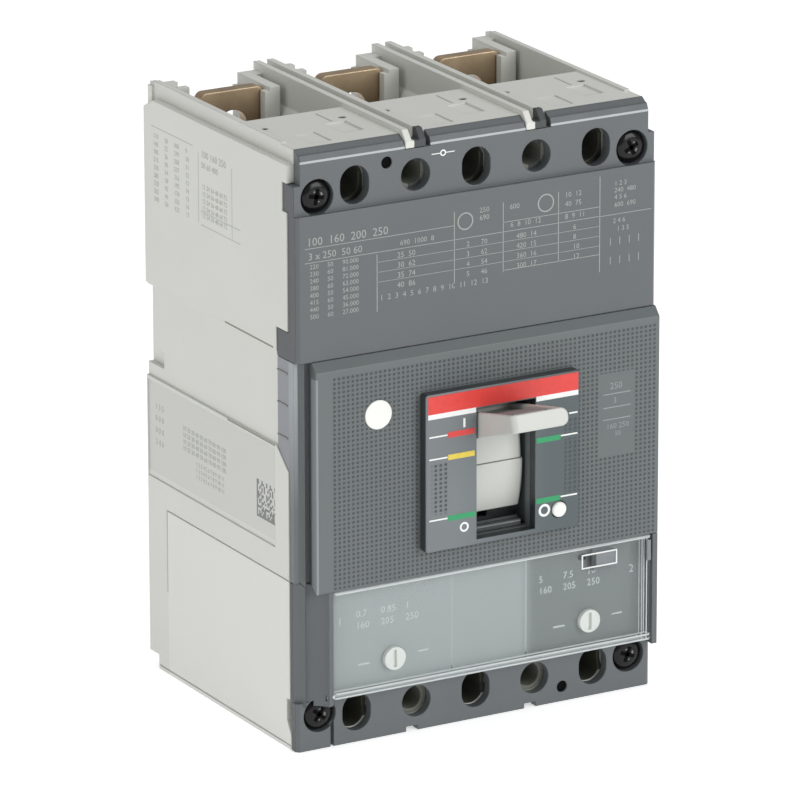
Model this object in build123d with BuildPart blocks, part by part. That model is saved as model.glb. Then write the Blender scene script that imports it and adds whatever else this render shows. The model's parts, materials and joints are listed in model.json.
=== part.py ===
"""Three-pole molded case circuit breaker, 250 A frame, thermal-magnetic trip unit.

Millimetres. +Z is up, +X is to the right of someone facing the breaker, and the front faces -Y.
The origin is the centre of the four fixing holes, on the back mounting plane (Y = 0).
Depths are distances in front of the mounting plane, so a depth d lies at Y = -d.
"""
from build123d import *
from math import cos, radians, sin
import os

os.makedirs("parts", exist_ok=True)

# ---------------------------------------------------------------- driving dimensions
# Overall
case_width = 105.0
case_height = 158.8
pole_pitch = 35.0
fixing_spacing = 139.5          # between the upper and the lower fixing holes
bottom_below_fixing = 7.85      # from the lower fixing holes down to the bottom face

# Depths of the front planes
base_depth = 75.8               # front rim of the light housing
strip_depth = 79.1              # terminal strips of the covers
data_depth = 80.4               # plain field of the upper cover
fascia_depth = 82.5             # raised middle section
bezel_rise = 2.8                # bezel in front of the fascia
skirt_depth = 70.0              # where the fascia's side skirt begins

# Walls and gaps
back_wall = 3.0
side_wall = 2.8
cover_wall = 2.6
partition = 4.0                 # inner wall between poles
end_wall = 3.0                  # wall between a pole chamber and its terminal pocket
seam = 0.2                      # gap between mating mouldings
clearance = 0.3                 # free gap beside moving parts
running = 0.05                  # radial gap of a pin in its hole

# Terminal ends
chamber_half_height = 56.0
pocket_depth = 46.5             # terminal pocket, open at the back and at the end
barrier_width = 5.8
barrier_groove = 2.2
roof_below_top = 1.2            # roof below the barriers' top
wall_top_thickness = 1.6
ledge_below_top = 4.9
ledge_inset = 2.0
rear_chamfer = (5.0, 2.6)       # depth and drop of the chamfer at the upper rear edge
flange_thickness = 2.2          # rear flange that guides a phase barrier
flange_wide = 5.2
flange_wider = 8.6
flange_below_top = 2.0
flange_step = 1.8
post_width = 3.3                # post beside the right edge of each bar
post_below_top = 2.1
bevel_below_top = 3.9           # lower edge of the upper cover's bevel
access_width = 8.3
access_height = 10.0
access_from_fixing = -0.2       # access holes measured from the fixing row, towards the middle
fixing_bore = 4.6
fixing_counterbore = 6.4
fixing_cover_hole = 8.4

# Conductors
bar_width = 18.4
bar_thickness = 3.5
bar_depth = 12.0                # back face of the terminal bars
bar_below_top = 2.1
terminal_hole = 8.5
post_lap = 3.0                  # how far a post reaches behind the bar's edge
rib_lap = 1.2                   # how far a rib reaches in front of it
rib_thickness = 2.6

# Front mouldings, heights measured from the origin
fascia_top = 25.5
fascia_bottom = -35.1
strip_edge = 63.6               # border between the upper terminal strip and the plain field
lower_strip_edge = -64.6
flank_bottom = -32.6            # lower end of the fascia's left flank
bead_width = 2.9                # rounded bead at the left edge
panel_inset = 4.3               # raised panel's left wall, from the side face
probe_x = (-25.8, 25.8)
probe_top = 74.0
probe_bottom = -73.6

# Toggle, seen from the side: pivot at (depth, height)
toggle_pivot_depth = 39.0
toggle_pivot_height = -9.5
toggle_rest_angle = 15.6        # above horizontal, contacts closed
barrel_radius = 41.5
barrel_wall = 2.4
barrel_half_angle = 33.2
blade_reach = 66.0              # pivot to blade tip
blade_root_thickness = 7.6
blade_tip_thickness = 4.6
slot_left = -3.4
slot_right = 13.9
slot_top = 8.0
slot_bottom = -26.9
blade_gap = 0.6
neck_swing = 24.0               # half angle of the shield's slot for the neck
shield_half_angle = 29.0

# Bezel outline
bezel_left = -18.2
bezel_right = 27.0
bezel_top = 13.6
bezel_bottom = -28.3

# Crossbar and contacts
crossbar_depth = 24.0
crossbar_height = -18.0
crossbar_radius = 6.5
crossbar_end = 2.7              # from the crossbar's end to the side wall
arm_width = 5.0
arm_root = 3.5                  # half depth of the contact arm at its root
arm_foot = 3.5                  # how far the arm's root reaches below the crossbar's axis
arm_reach = 42.0                # pivot to the top of the contact arm
arm_neck = 14.0                 # where the arm begins to narrow, above the pivot
contact_height = 21.0
contact_size = 6.0
contact_thickness = 2.0
lug_gap = 4.5                   # room for a contact spring
lug_thickness = 1.5
contact_spring_height = 6.0     # above the crossbar's axis
contact_spring_radius = 1.8

# Toggle mechanism of the centre pole. Joints are (depth, height), lanes are (left, right).
link_pin = 1.2
hub_radius = 4.0
hub_bore = 1.5
spring_anchor = 26.0
cradle_joint = (60.0, 2.0)
knee_joint = (40.4, 0.7)
lever_joint = (22.0, -6.0)
cradle_pivot = (50.0, 16.0)
cradle_latch = (62.0, -20.0)
spacer_joints = ((56.0, -24.0), (54.0, 22.0))
link_half_width = 3.0
left_plate = (-5.9, -4.4)
right_plate = (13.55, 15.05)
neck_lane = (3.2, 5.4)
yoke_lane = (5.4, 6.6)
spring_lane = (6.8, 9.4)
upper_lane = (9.5, 10.6)
lower_lane = (10.8, 11.9)
lever_lane = (12.1, 13.3)
knee_slot = 2.0                 # extra radius of the upper link's hole at the knee
upper_link_half_width = 4.6
spring_wire = 0.3

# Thermal and magnetic trip
strip_width = 11.0
strip_thickness = 1.4
strip_front = 22.5
strip_foot = -52.0
strip_head = -30.0
yoke_half = 8.0
yoke_front = 30.0
yoke_wall = 1.6
yoke_bottom = -50.0
yoke_top = -44.0
flap_front = 34.4
flap_thickness = 1.4
flap_pivot = (31.0, -39.0)
flap_pin = 1.0
trip_axis = (50.0, -42.0)
trip_radius = 2.5
trip_end = 1.7                  # from the trip bar's end to the side wall
finger_lane = (2.9, 5.9)        # measured from the pole's centre
calibration_radius = 1.0

# Arc chutes
plate_count = 8
plate_first = 20.0
plate_pitch = 3.5
splitter_thickness = 1.2
plate_half = 13.0
chute_bottom = 26.0
chute_top = 54.0

# Trip unit behind the clear cover
window_inset = (9.5, 1.9)       # window from the left and the right side face
window_top = -35.4
clear_depth = 82.4
clear_wall = 1.4
trip_unit_depth = 79.3
trip_unit_back = 62.0
trip_space_bottom = -60.0       # floor of the trip unit's space in the housing
rim_wall = 2.0                  # outer wall in front of the housing's rim
column_inset = 9.3              # right face of the column left of the trip unit
bottom_slot_inset = (9.9, 10.9)
hinge_depth = 81.2              # hinge axis of the clear cover
hinge_height = -63.3
pin_radius = 0.8
seal_left = 29.9
seal_right = 39.8
seal_bottom = -42.0
seal_top = -37.6
seal_rider = 5.6
dial_shaft = 1.5
dial_radius = 3.05
dial_height = -56.6
left_dial_x = -24.5
right_dial_x = 33.2

# Cover screws
screw_inset = 6.8
screw_top = 67.9
screw_bottom = -68.4
screw_radius = 1.9
screw_head_radius = 4.35
screw_seat = 2.2                # depth of the seat below the strip
screw_length = 18.0

# Side faces of the housing
zone_top = 26.8
zone_bottom = 1.8
zone_recess = 0.6
label_bottom = -25.5
lower_seam = -32.5

# Push button
button_x = 20.9
button_z = -22.8
button_radius = 2.0
guide_radius = 4.6
guide_back = 69.5

# ---------------------------------------------------------------- derived places
half_width = case_width / 2
z_bottom = -fixing_spacing / 2 - bottom_below_fixing
z_top = z_bottom + case_height
z_ledge = z_top - ledge_below_top
z_roof = z_top - roof_below_top
z_barrier = z_top
z_bevel = z_top - bevel_below_top
z_fixing = fixing_spacing / 2
z_access_top = z_fixing + access_from_fixing
z_access_bottom = -z_fixing - access_from_fixing
z_bar_top = z_top - bar_below_top
bezel_depth = fascia_depth + bezel_rise
bead_right = half_width - bead_width
panel_left = half_width - panel_inset
window_left = -half_width + window_inset[0]
window_right = half_width - window_inset[1]
column_right = -half_width + column_inset
screw_x = half_width - screw_inset
pole_x = {"left": -pole_pitch, "centre": 0.0, "right": pole_pitch}
barrier_x = (-pole_pitch / 2, pole_pitch / 2)
chamber_half = pole_pitch / 2 - partition / 2
inner_half = half_width - side_wall
ledge_half = half_width - ledge_inset
slot_centre = (slot_left + slot_right) / 2
slot_middle = (slot_top + slot_bottom) / 2
bar_front = bar_depth + bar_thickness
z_pocket = chamber_half_height + end_wall
z_parting = chamber_half_height + end_wall / 2
outer = half_width - seam
toggle_axis = (toggle_pivot_depth, toggle_pivot_height)
contact_front = bar_front + contact_thickness
crossbar_half = inner_half - crossbar_end
trip_half = inner_half - trip_end


# ---------------------------------------------------------------- small helpers
def block(x, y, z, mode=Mode.ADD):
    """Box between a low and a high bound on each axis."""
    with Locations(((x[0] + x[1]) / 2, (y[0] + y[1]) / 2, (z[0] + z[1]) / 2)):
        Box(x[1] - x[0], y[1] - y[0], z[1] - z[0], mode=mode)


def bore_y(x, z, radius, front, back, mode=Mode.SUBTRACT):
    """Round bar or hole along Y, between a front and a back depth."""
    with Locations(Location((x, -(front + back) / 2, z), (90, 0, 0))):
        Cylinder(radius, front - back, mode=mode)


def bore_x(depth, z, radius, left, right, mode=Mode.SUBTRACT):
    """Round bar or hole along X, between two X places."""
    with Locations(Location(((left + right) / 2, -depth, z), (0, 90, 0))):
        Cylinder(radius, right - left, mode=mode)


def facing(depth):
    """Sketch plane that faces the front, at a depth."""
    return Plane.XZ.offset(depth)


def sideways(x):
    """Sketch plane seen from the right, at a place on X. Its first axis is +Y, its second +Z."""
    return Plane.YZ.offset(x)


def turned(depth, height, angle, reach):
    """Point at a reach from a side-view pivot, at an angle above the forward horizontal."""
    return (-depth - reach * cos(radians(angle)), height + reach * sin(radians(angle)))


def span(x, inner, outer):
    """Left and right bound of a pole's space: inner beside a neighbour, outer beside a side wall."""
    left = -outer if x < 0 else x - inner
    right = outer if x > 0 else x + inner
    return left, right


def save(piece, name):
    piece.part.label = name
    export_step(piece.part, f"parts/{name}.step")


# ---------------------------------------------------------------- housing
# Front rim of the housing's side wall in side view, as (depth, height) from the bottom up.
hook_top = z_top - 9.7
hook_bottom = z_top - 17.2
side_rim = [
    (strip_depth - cover_wall - seam, z_bottom),
    (strip_depth - cover_wall - seam, z_bottom + 4.1),
    (base_depth - 1.6, z_bottom + 7.6),
    (base_depth - 1.6, z_bottom + 13.4),
    (base_depth, z_bottom + 13.4),
    (base_depth, fascia_bottom + 31.4),
    (skirt_depth, fascia_bottom + 36.6),
    (skirt_depth, fascia_top + 3.2),
    (skirt_depth - 0.2, fascia_top + 7.6),
    (base_depth, fascia_top + 7.6),
    (base_depth, hook_bottom),
    (base_depth - 2.4, hook_bottom),
    (base_depth - 2.4, hook_top),
    (base_depth, hook_top),
    (base_depth, z_ledge),
]

with BuildPart() as whole_case:
    with BuildSketch(sideways(-half_width)):
        with BuildLine():
            rim_points = [(-depth, height) for depth, height in side_rim]
            Polyline([(-rear_chamfer[0], z_ledge), (0, z_ledge - rear_chamfer[1]), (0, z_bottom + 3.9),
                      (-5.0, z_bottom + 3.9), (-5.0, z_bottom)] + rim_points, close=True)
        make_face()
    extrude(amount=case_width)
    # Upper end: a roof on the ledge, with thin outer walls that stand a little above it.
    block((-ledge_half, ledge_half), (-base_depth, 0), (z_ledge - rear_chamfer[1], z_roof))
    for side in (-1, 1):
        wall = sorted((side * ledge_half, side * (ledge_half - wall_top_thickness)))
        block(wall, (-base_depth + 6.0, -flange_thickness), (z_ledge, z_roof + 0.5))
    # Barriers between the poles: two thin walls with a groove.
    for x in barrier_x:
        half = barrier_width / 2
        block((x - half, x + half), (-base_depth, 0), (z_ledge - 3.0, z_barrier))
        with BuildSketch(sideways(x - half)):
            with BuildLine():
                Polyline([(-base_depth, z_bevel - 0.5), (-base_depth, z_barrier), (-base_depth - 1.2, z_barrier),
                          (-strip_depth, z_barrier - 2.6), (-strip_depth, z_bevel - 0.5)], close=True)
            make_face()
        extrude(amount=barrier_width)
    # Pole chambers, open to the front.
    for x in pole_x.values():
        chamber = span(x, chamber_half, inner_half)
        block(chamber, (-case_width, -back_wall), (-chamber_half_height, chamber_half_height), Mode.SUBTRACT)
    # Terminal pockets, open at the back and at the end of the case.
    for x in pole_x.values():
        left, right = span(x, pole_pitch / 2 - barrier_width / 2, ledge_half - wall_top_thickness)
        block((left, right), (-pocket_depth, 1.0), (z_pocket, z_top + 1.0), Mode.SUBTRACT)
        block((left, right), (-pocket_depth, 1.0), (z_bottom - 1.0, -z_pocket), Mode.SUBTRACT)
        # Posts behind both edges of each bar, and a rib in front of its right edge.
        bar_left = x - bar_width / 2
        bar_right = x + bar_width / 2
        post_right = bar_right + post_width
        rib = (-bar_front - rib_thickness, -bar_front - seam)
        post_top = z_top - post_below_top
        block((bar_right + seam, right), (-5.0, -0.8), (z_pocket, post_top))
        block((bar_right - rib_lap, right), (-bar_depth, -0.8), (z_pocket, z_bar_top - 3.0))
        block((bar_right + seam, post_right), (-bar_front - rib_thickness, -5.0), (z_pocket, post_top))
        block((bar_right - rib_lap, post_right), rib, (z_pocket, post_top - 1.0))
        block((left, bar_left + post_lap), (-bar_depth, -0.8), (z_pocket, z_access_top + terminal_hole / 2))
        # Rear flange on the pocket's left wall, with a step.
        flange_top = z_top - flange_below_top
        flange_start = x - pole_pitch / 2 + barrier_width / 2 - wall_top_thickness
        for reach, top in ((flange_wide, flange_top), (flange_wider, flange_top - flange_step)):
            block((flange_start, left + reach), (-flange_thickness, 0), (z_pocket, top))
        block((bar_right - post_lap, right), (-bar_depth, -0.8), (z_bottom, -z_pocket))
        block((bar_right - rib_lap, right), rib, (z_bottom, -z_pocket))
        block((left, bar_left + post_lap), (-bar_depth, -0.8), (z_bottom, -z_pocket))
    # Grooves along the barriers.
    for x in barrier_x:
        groove = (x - barrier_groove / 2, x + barrier_groove / 2)
        block(groove, (-strip_depth - 1, 1.0), (z_barrier - 2.6, z_top + 1), Mode.SUBTRACT)
    # Slots for the bars through the end walls.
    for x in pole_x.values():
        across = (x - bar_width / 2 - seam, x + bar_width / 2 + seam)
        through = (-bar_front - seam, -bar_depth + 0.02)
        block(across, through, (chamber_half_height - 1, z_pocket + 0.02), Mode.SUBTRACT)
        block(across, through, (-z_pocket - 0.02, -chamber_half_height + 1), Mode.SUBTRACT)
    # Fixing tubes through the barriers, and their counterbores from the front.
    for x in barrier_x:
        for z in (-z_fixing, z_fixing):
            bore_y(x, z, fixing_bore / 2 + 2.2, base_depth, 0, Mode.ADD)
            bore_y(x, z, fixing_bore / 2, base_depth + 9, -1)
            bore_y(x, z, fixing_counterbore / 2, base_depth + 9, pocket_depth + 4)
    # Screwdriver tunnels in front of the terminals.
    for z in (z_access_top, z_access_bottom):
        with BuildSketch(facing(pocket_depth - 1)):
            with Locations([(x, z) for x in pole_x.values()]):
                SlotOverall(access_height, access_width, rotation=90)
        extrude(amount=base_depth, mode=Mode.SUBTRACT)
    # Slots in the inner walls that the crossbar and the trip bar drop into from the front.
    for x in barrier_x:
        wall = (x - partition, x + partition)
        for depth, height, radius in ((crossbar_depth, crossbar_height, crossbar_radius),
                                      (trip_axis[0], trip_axis[1], trip_radius)):
            bore_x(depth, height, radius + clearance, wall[0], wall[1])
            block(wall, (-case_width, -depth), (height - radius - clearance, height + radius + clearance),
                  Mode.SUBTRACT)
    # The trip unit lies in front of the inner walls, and the push button's guide beside one of them.
    block((-inner_half, inner_half), (-case_width, -trip_unit_back), (trip_space_bottom, window_top + 1.4),
          Mode.SUBTRACT)
    # Below the chambers only the outer walls stand forward of the rim.
    block((-half_width + rim_wall, half_width - rim_wall), (-case_width, -base_depth),
          (z_bottom - 1, lower_strip_edge), Mode.SUBTRACT)
    block((barrier_x[1] - partition, button_x), (-case_width, -guide_back + clearance),
          (button_z - guide_radius - clearance, button_z + guide_radius + clearance), Mode.SUBTRACT)
    # Holes for the cover screws.
    for x in (-screw_x, screw_x):
        for z in (screw_top, screw_bottom):
            bore_y(x, z, screw_radius + seam, base_depth + 1, base_depth - screw_length)
    # Relief of the side faces: set-back middle zone, clip notch, label field, seams and bottom rail.
    for side in (-1, 1):
        face = sorted((side * (half_width + 1), side * (half_width - zone_recess)))
        shallow = sorted((side * (half_width + 1), side * (half_width - 0.3)))
        edge = sorted((side * (half_width + 1), side * (half_width - side_wall + 0.8)))
        block(face, (-skirt_depth - 9, 1), (zone_bottom, zone_top), Mode.SUBTRACT)
        block(edge, (-2.7, 1), (zone_bottom + 3.5, zone_top - 0.6), Mode.SUBTRACT)
        block(edge, (-8.5, 1), (zone_bottom + 3.5, zone_bottom + 7.8), Mode.SUBTRACT)
        block(shallow, (-68.7, -0.5), (label_bottom, zone_bottom - 0.9), Mode.SUBTRACT)
        block(shallow, (-77.3, -10.2), (lower_seam - 0.2, lower_seam + 0.2), Mode.SUBTRACT)
        block(shallow, (-10.5, -10.1), (lower_seam - 22.5, lower_seam), Mode.SUBTRACT)
        block(shallow, (-strip_depth, -5.4), (z_bottom + 1.0, z_bottom + 1.4), Mode.SUBTRACT)
    # Relief of the roof: a panel and two dimples over each pole.
    for x in pole_x.values():
        block((x + 3.0, x + 9.0), (-68.0, -58.5), (z_roof - 0.5, z_roof + 1), Mode.SUBTRACT)
        block((x + 5.4, x + 5.9), (-57.5, -49.0), (z_roof - 0.4, z_roof + 1), Mode.SUBTRACT)
        block((x - 9.0, x - 3.0), (-73.0, -64.0), (z_roof - 0.3, z_roof + 1), Mode.SUBTRACT)
        with Locations((x - 12.6, -55.2, z_roof), (x + 9.8, -55.2, z_roof)):
            Cylinder(1.1, 2.4, mode=Mode.SUBTRACT)

# The case is parted inside its end walls: a middle tub, and an end block with the terminal pockets above and below.
everywhere = (-case_height, case_height)
with BuildPart() as base_case:
    add(whole_case.part)
    block(everywhere, everywhere, (-z_parting, z_parting), Mode.INTERSECT)
save(base_case, "base_case")

with BuildPart() as terminal_ends:
    add(whole_case.part)
    block(everywhere, everywhere, (-z_parting, z_parting), Mode.SUBTRACT)
save(terminal_ends, "terminal_ends")


# ---------------------------------------------------------------- covers
with BuildPart() as upper_cover:
    # Plain field, terminal strip and the bevel above it.
    block((-outer, outer), (-data_depth, -data_depth + cover_wall), (fascia_top + seam, strip_edge))
    block((-ledge_half, ledge_half), (-strip_depth, -base_depth - seam), (strip_edge - 1, z_bevel))
    with BuildSketch(sideways(-ledge_half)):
        with BuildLine():
            Polyline([(-base_depth - seam, z_bevel - 0.3), (-strip_depth, z_bevel - 0.3), (-strip_depth, z_bevel),
                      (-strip_depth + 0.8, z_bevel + 1.6), (-strip_depth + 1.4, z_bevel + 1.7),
                      (-base_depth - seam, z_roof + 0.1)], close=True)
        make_face()
    extrude(amount=2 * ledge_half)
    # Side skirts with their snap hooks.
    for side in (-1, 1):
        skirt = sorted((side * outer, side * (outer - 2.0)))
        block(skirt, (-data_depth, -base_depth - seam), (fascia_top + seam, strip_edge))
        block(skirt, (-strip_depth, -base_depth - seam), (strip_edge - 1, hook_top - seam))
        block(skirt, (-base_depth - 1, -base_depth + 2.4 - seam), (hook_bottom + seam, hook_top - seam))
        block(skirt, (-base_depth - 1, -skirt_depth), (fascia_top + seam, fascia_top + 7.6 - seam))
    # Outer vertical edges.
    edges = upper_cover.edges().filter_by(Axis.Z).group_by(Axis.Y)[0]
    chamfer(edges, 0.8)
    # Openings for the barrier ends.
    for x in barrier_x:
        block((x - barrier_width / 2 - seam, x + barrier_width / 2 + 1.4), (-case_width, 0),
              (z_bevel - 0.7, z_top), Mode.SUBTRACT)
    # Screwdriver holes, fixing holes, screw seats and the small probe hole.
    with BuildSketch(facing(strip_depth + 1)):
        with Locations([(x, z_access_top) for x in pole_x.values()]):
            SlotOverall(access_height, access_width, rotation=90)
    extrude(amount=-8, mode=Mode.SUBTRACT)
    for x in barrier_x:
        bore_y(x, z_fixing, fixing_cover_hole / 2, strip_depth + 1, base_depth - 1)
    for x in (-screw_x, screw_x):
        bore_y(x, screw_top, screw_head_radius + clearance, strip_depth + 1, strip_depth - screw_seat)
        bore_y(x, screw_top, screw_radius + seam, strip_depth + 1, base_depth - 1)
    bore_y(probe_x[0], probe_top, 1.55, strip_depth + 1, base_depth - 1)
save(upper_cover, "upper_cover")

with BuildPart() as front_fascia:
    # Side skirts behind the fascia.
    for side in (-1, 1):
        inner = min(side * outer, side * (outer - 2.2))
        with BuildSketch(sideways(inner)):
            with BuildLine():
                Polyline([(-skirt_depth - seam, fascia_top), (-fascia_depth + 4, fascia_top),
                          (-fascia_depth + 4, flank_bottom), (-base_depth - seam, flank_bottom),
                          (-base_depth - seam, fascia_bottom + 31.4 + seam),
                          (-skirt_depth - seam, fascia_bottom + 36.8)], close=True)
            make_face()
        extrude(amount=2.2)
    # Face with the bead, the groove and the raised panel's left wall, as a plan outline.
    with BuildSketch(Plane.XY.offset(fascia_bottom)):
        with BuildLine():
            Polyline([(-bead_right, -fascia_depth + 3.9), (-panel_left, -fascia_depth + 3.9),
                      (-panel_left, -fascia_depth), (outer, -fascia_depth), (outer, -base_depth - seam),
                      (outer - 2.2, -base_depth - seam), (outer - 2.2, -fascia_depth + 2.5),
                      (-panel_left + 3.0, -fascia_depth + 2.5), (-panel_left + 3.0, -base_depth - seam),
                      (-outer, -base_depth - seam), (-outer, -base_depth - 1.4)])
            RadiusArc((-outer, -base_depth - 1.4), (-bead_right - 0.5, -fascia_depth + 2.4), 3.4)
            Line((-bead_right - 0.5, -fascia_depth + 2.4), (-bead_right, -fascia_depth + 3.9))
        make_face()
    extrude(amount=fascia_top - fascia_bottom)
    # Slope above the panel and the slanted lower edge of the flank.
    with BuildSketch(sideways(-half_width)):
        with BuildLine():
            Polyline([(-fascia_depth - 1, fascia_top + 1), (-fascia_depth + 2.1, fascia_top + 1),
                      (-fascia_depth + 2.1, fascia_top), (-fascia_depth, fascia_top - 2.3),
                      (-fascia_depth - 1, fascia_top - 2.3)], close=True)
        make_face()
    extrude(amount=case_width, mode=Mode.SUBTRACT)
    with BuildSketch(sideways(-half_width)):
        with BuildLine():
            Polyline([(-base_depth + 1, flank_bottom), (-fascia_depth + 3.9, flank_bottom),
                      (-fascia_depth, fascia_bottom), (-fascia_depth, fascia_bottom - 1),
                      (-base_depth + 1, fascia_bottom - 1)], close=True)
        make_face()
    extrude(amount=half_width + window_left - seam, mode=Mode.SUBTRACT)
    # Toggle slot.
    block((slot_left, slot_right), (-case_width, -fascia_depth + 4), (slot_bottom, slot_top), Mode.SUBTRACT)
    # Push button guide: a cup behind the face with a hole for the stem.
    bore_y(button_x, button_z, guide_radius, fascia_depth - 2, guide_back, Mode.ADD)
    bore_y(button_x, button_z, guide_radius - 1.2, fascia_depth - 2.5, guide_back + 1.2)
    bore_y(button_x, button_z, button_radius + clearance, fascia_depth + 1, fascia_depth - 3)
    bore_y(button_x, button_z, 1.2, guide_back + 2, guide_back - 1)
save(front_fascia, "front_fascia")

with BuildPart() as lower_cover:
    # Strip with the lower access holes, narrower at its end so that it lies between the housing's walls.
    block((-outer, outer), (-strip_depth, -strip_depth + cover_wall), (z_bottom, lower_strip_edge))
    for side in (-1, 1):
        skirt = sorted((side * outer, side * (outer - 2.0)))
        block(skirt, (-strip_depth, -base_depth - seam), (z_bottom + 9.0, lower_strip_edge))
    chamfer(lower_cover.edges().filter_by(Axis.Z).group_by(Axis.Y)[0], 0.8)
    # Left column beside the trip unit, in plan: bead, groove and rounded bar.
    with BuildSketch(Plane.XY.offset(lower_strip_edge - 1)):
        with BuildLine():
            Polyline([(-bead_right, -fascia_depth + 3.9), (-panel_left, -fascia_depth + 3.4)])
            RadiusArc((-panel_left, -fascia_depth + 3.4), (column_right - 1.5, -fascia_depth), 6.0)
            Polyline([(column_right - 1.5, -fascia_depth), (column_right, -fascia_depth + 0.6),
                      (column_right, -base_depth - seam), (-outer, -base_depth - seam),
                      (-outer, -base_depth - 1.4)])
            RadiusArc((-outer, -base_depth - 1.4), (-bead_right - 0.5, -fascia_depth + 2.4), 3.4)
            Line((-bead_right - 0.5, -fascia_depth + 2.4), (-bead_right, -fascia_depth + 3.9))
        make_face()
    extrude(amount=flank_bottom - lower_strip_edge + 1)
    # Its upper end follows the fascia's slanted lower edge.
    with BuildSketch(sideways(-half_width)):
        with BuildLine():
            Polyline([(-base_depth, flank_bottom - seam), (-fascia_depth + 3.9, flank_bottom - seam),
                      (-fascia_depth - 0.1, fascia_bottom - seam), (-fascia_depth - 0.1, fascia_top),
                      (-base_depth, fascia_top)], close=True)
        make_face()
    extrude(amount=half_width + column_right + 1, mode=Mode.SUBTRACT)
    # Right flank beside the trip unit.
    block((window_right + seam, outer), (-fascia_depth, -base_depth - seam),
          (lower_strip_edge - 0.7, fascia_bottom - seam))
    # Holes for the clear cover's hinge pins.
    bore_x(hinge_depth, hinge_height, pin_radius + running, column_right - 2.0, column_right + 1)
    bore_x(hinge_depth, hinge_height, pin_radius + running, window_right - 1, outer - 0.3)
    # Screwdriver holes, fixing holes, screw seats, probe hole and the notches of the bottom edge.
    with BuildSketch(facing(strip_depth + 1)):
        with Locations([(x, z_access_bottom) for x in pole_x.values()]):
            SlotOverall(access_height, access_width, rotation=90)
    extrude(amount=-8, mode=Mode.SUBTRACT)
    for x in barrier_x:
        bore_y(x, -z_fixing, fixing_cover_hole / 2, strip_depth + 1, base_depth - 1)
        block((x - 3.0, x + 0.5), (-case_width, -base_depth + 1), (z_bottom - 1, z_bottom + 1.3), Mode.SUBTRACT)
    for x in (-screw_x, screw_x):
        bore_y(x, screw_bottom, screw_head_radius + clearance, strip_depth + seam, strip_depth - screw_seat)
        bore_y(x, screw_bottom, screw_radius + seam, strip_depth + 1, base_depth - 1)
    bore_y(probe_x[1], probe_bottom, 1.55, strip_depth + 1, base_depth - 1)
    slot = (-half_width + bottom_slot_inset[0], -half_width + bottom_slot_inset[1])
    block(slot, (-case_width, -strip_depth + 1.2), (z_bottom - 1, lower_strip_edge - 1.5), Mode.SUBTRACT)
save(lower_cover, "lower_cover")

with BuildPart() as cover_screws:
    # Four pan-head screws with cross recesses.
    for x in (-screw_x, screw_x):
        for z in (screw_top, screw_bottom):
            bore_y(x, z, screw_head_radius, strip_depth - 0.2, strip_depth - screw_seat, Mode.ADD)
            bore_y(x, z, screw_radius, strip_depth - screw_seat, base_depth - screw_length + 1, Mode.ADD)
            block((x - 2.4, x + 2.4), (-strip_depth, -strip_depth + 1.7), (z - 0.5, z + 0.5), Mode.SUBTRACT)
            block((x - 0.5, x + 0.5), (-strip_depth, -strip_depth + 1.7), (z - 2.4, z + 2.4), Mode.SUBTRACT)
save(cover_screws, "cover_screws")

with BuildPart() as escutcheon:
    with BuildSketch(facing(fascia_depth)):
        with Locations(((bezel_left + bezel_right) / 2, (bezel_top + bezel_bottom) / 2)):
            RectangleRounded(bezel_right - bezel_left, bezel_top - bezel_bottom, 0.8)
        with Locations((slot_centre, slot_middle)):
            Rectangle(slot_right - slot_left, slot_top - slot_bottom, mode=Mode.SUBTRACT)
        with Locations((button_x, button_z)):
            Circle(button_radius + clearance, mode=Mode.SUBTRACT)
    extrude(amount=bezel_rise)
    chamfer(escutcheon.faces().sort_by(Axis.Y)[0].outer_wire().edges(), 0.3)
save(escutcheon, "escutcheon")

with BuildPart() as inspection_disc:
    bore_y(-30.4, 9.9, 3.8, fascia_depth + 0.3, fascia_depth, Mode.ADD)
save(inspection_disc, "inspection_disc")

# Dark shield behind the toggle's barrel, with a slot for the toggle's neck.
shield_outer = barrel_radius - barrel_wall - clearance
shield_inner = shield_outer - 1.4
with BuildPart() as slot_shield:
    with BuildSketch(sideways(slot_left - 1.2)):
        with Locations((-toggle_pivot_depth, toggle_pivot_height)):
            Circle(shield_outer)
            Circle(shield_inner, mode=Mode.SUBTRACT)
        # Keep the sector that faces the slot.
        with BuildLine():
            pivot_point = (-toggle_pivot_depth, toggle_pivot_height)
            Polyline([pivot_point, turned(*toggle_axis, shield_half_angle, 60),
                      turned(*toggle_axis, -shield_half_angle, 60)], close=True)
        make_face(mode=Mode.INTERSECT)
    extrude(amount=slot_right - slot_left + 2.4)
    cheek_back = toggle_pivot_depth + shield_inner * cos(radians(shield_half_angle))
    for low in (slot_left - 1.2, slot_right + 0.2):
        block((low, low + 1.0), (-fascia_depth + 2.5, -cheek_back), (slot_bottom - 1.0, slot_top + 1.0))
    block((neck_lane[0] - clearance, neck_lane[1] + clearance), (-case_width, -toggle_pivot_depth),
          (turned(0, toggle_pivot_height, -neck_swing, shield_outer)[1],
           turned(0, toggle_pivot_height, neck_swing, shield_outer)[1]), Mode.SUBTRACT)
save(slot_shield, "slot_shield")

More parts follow.
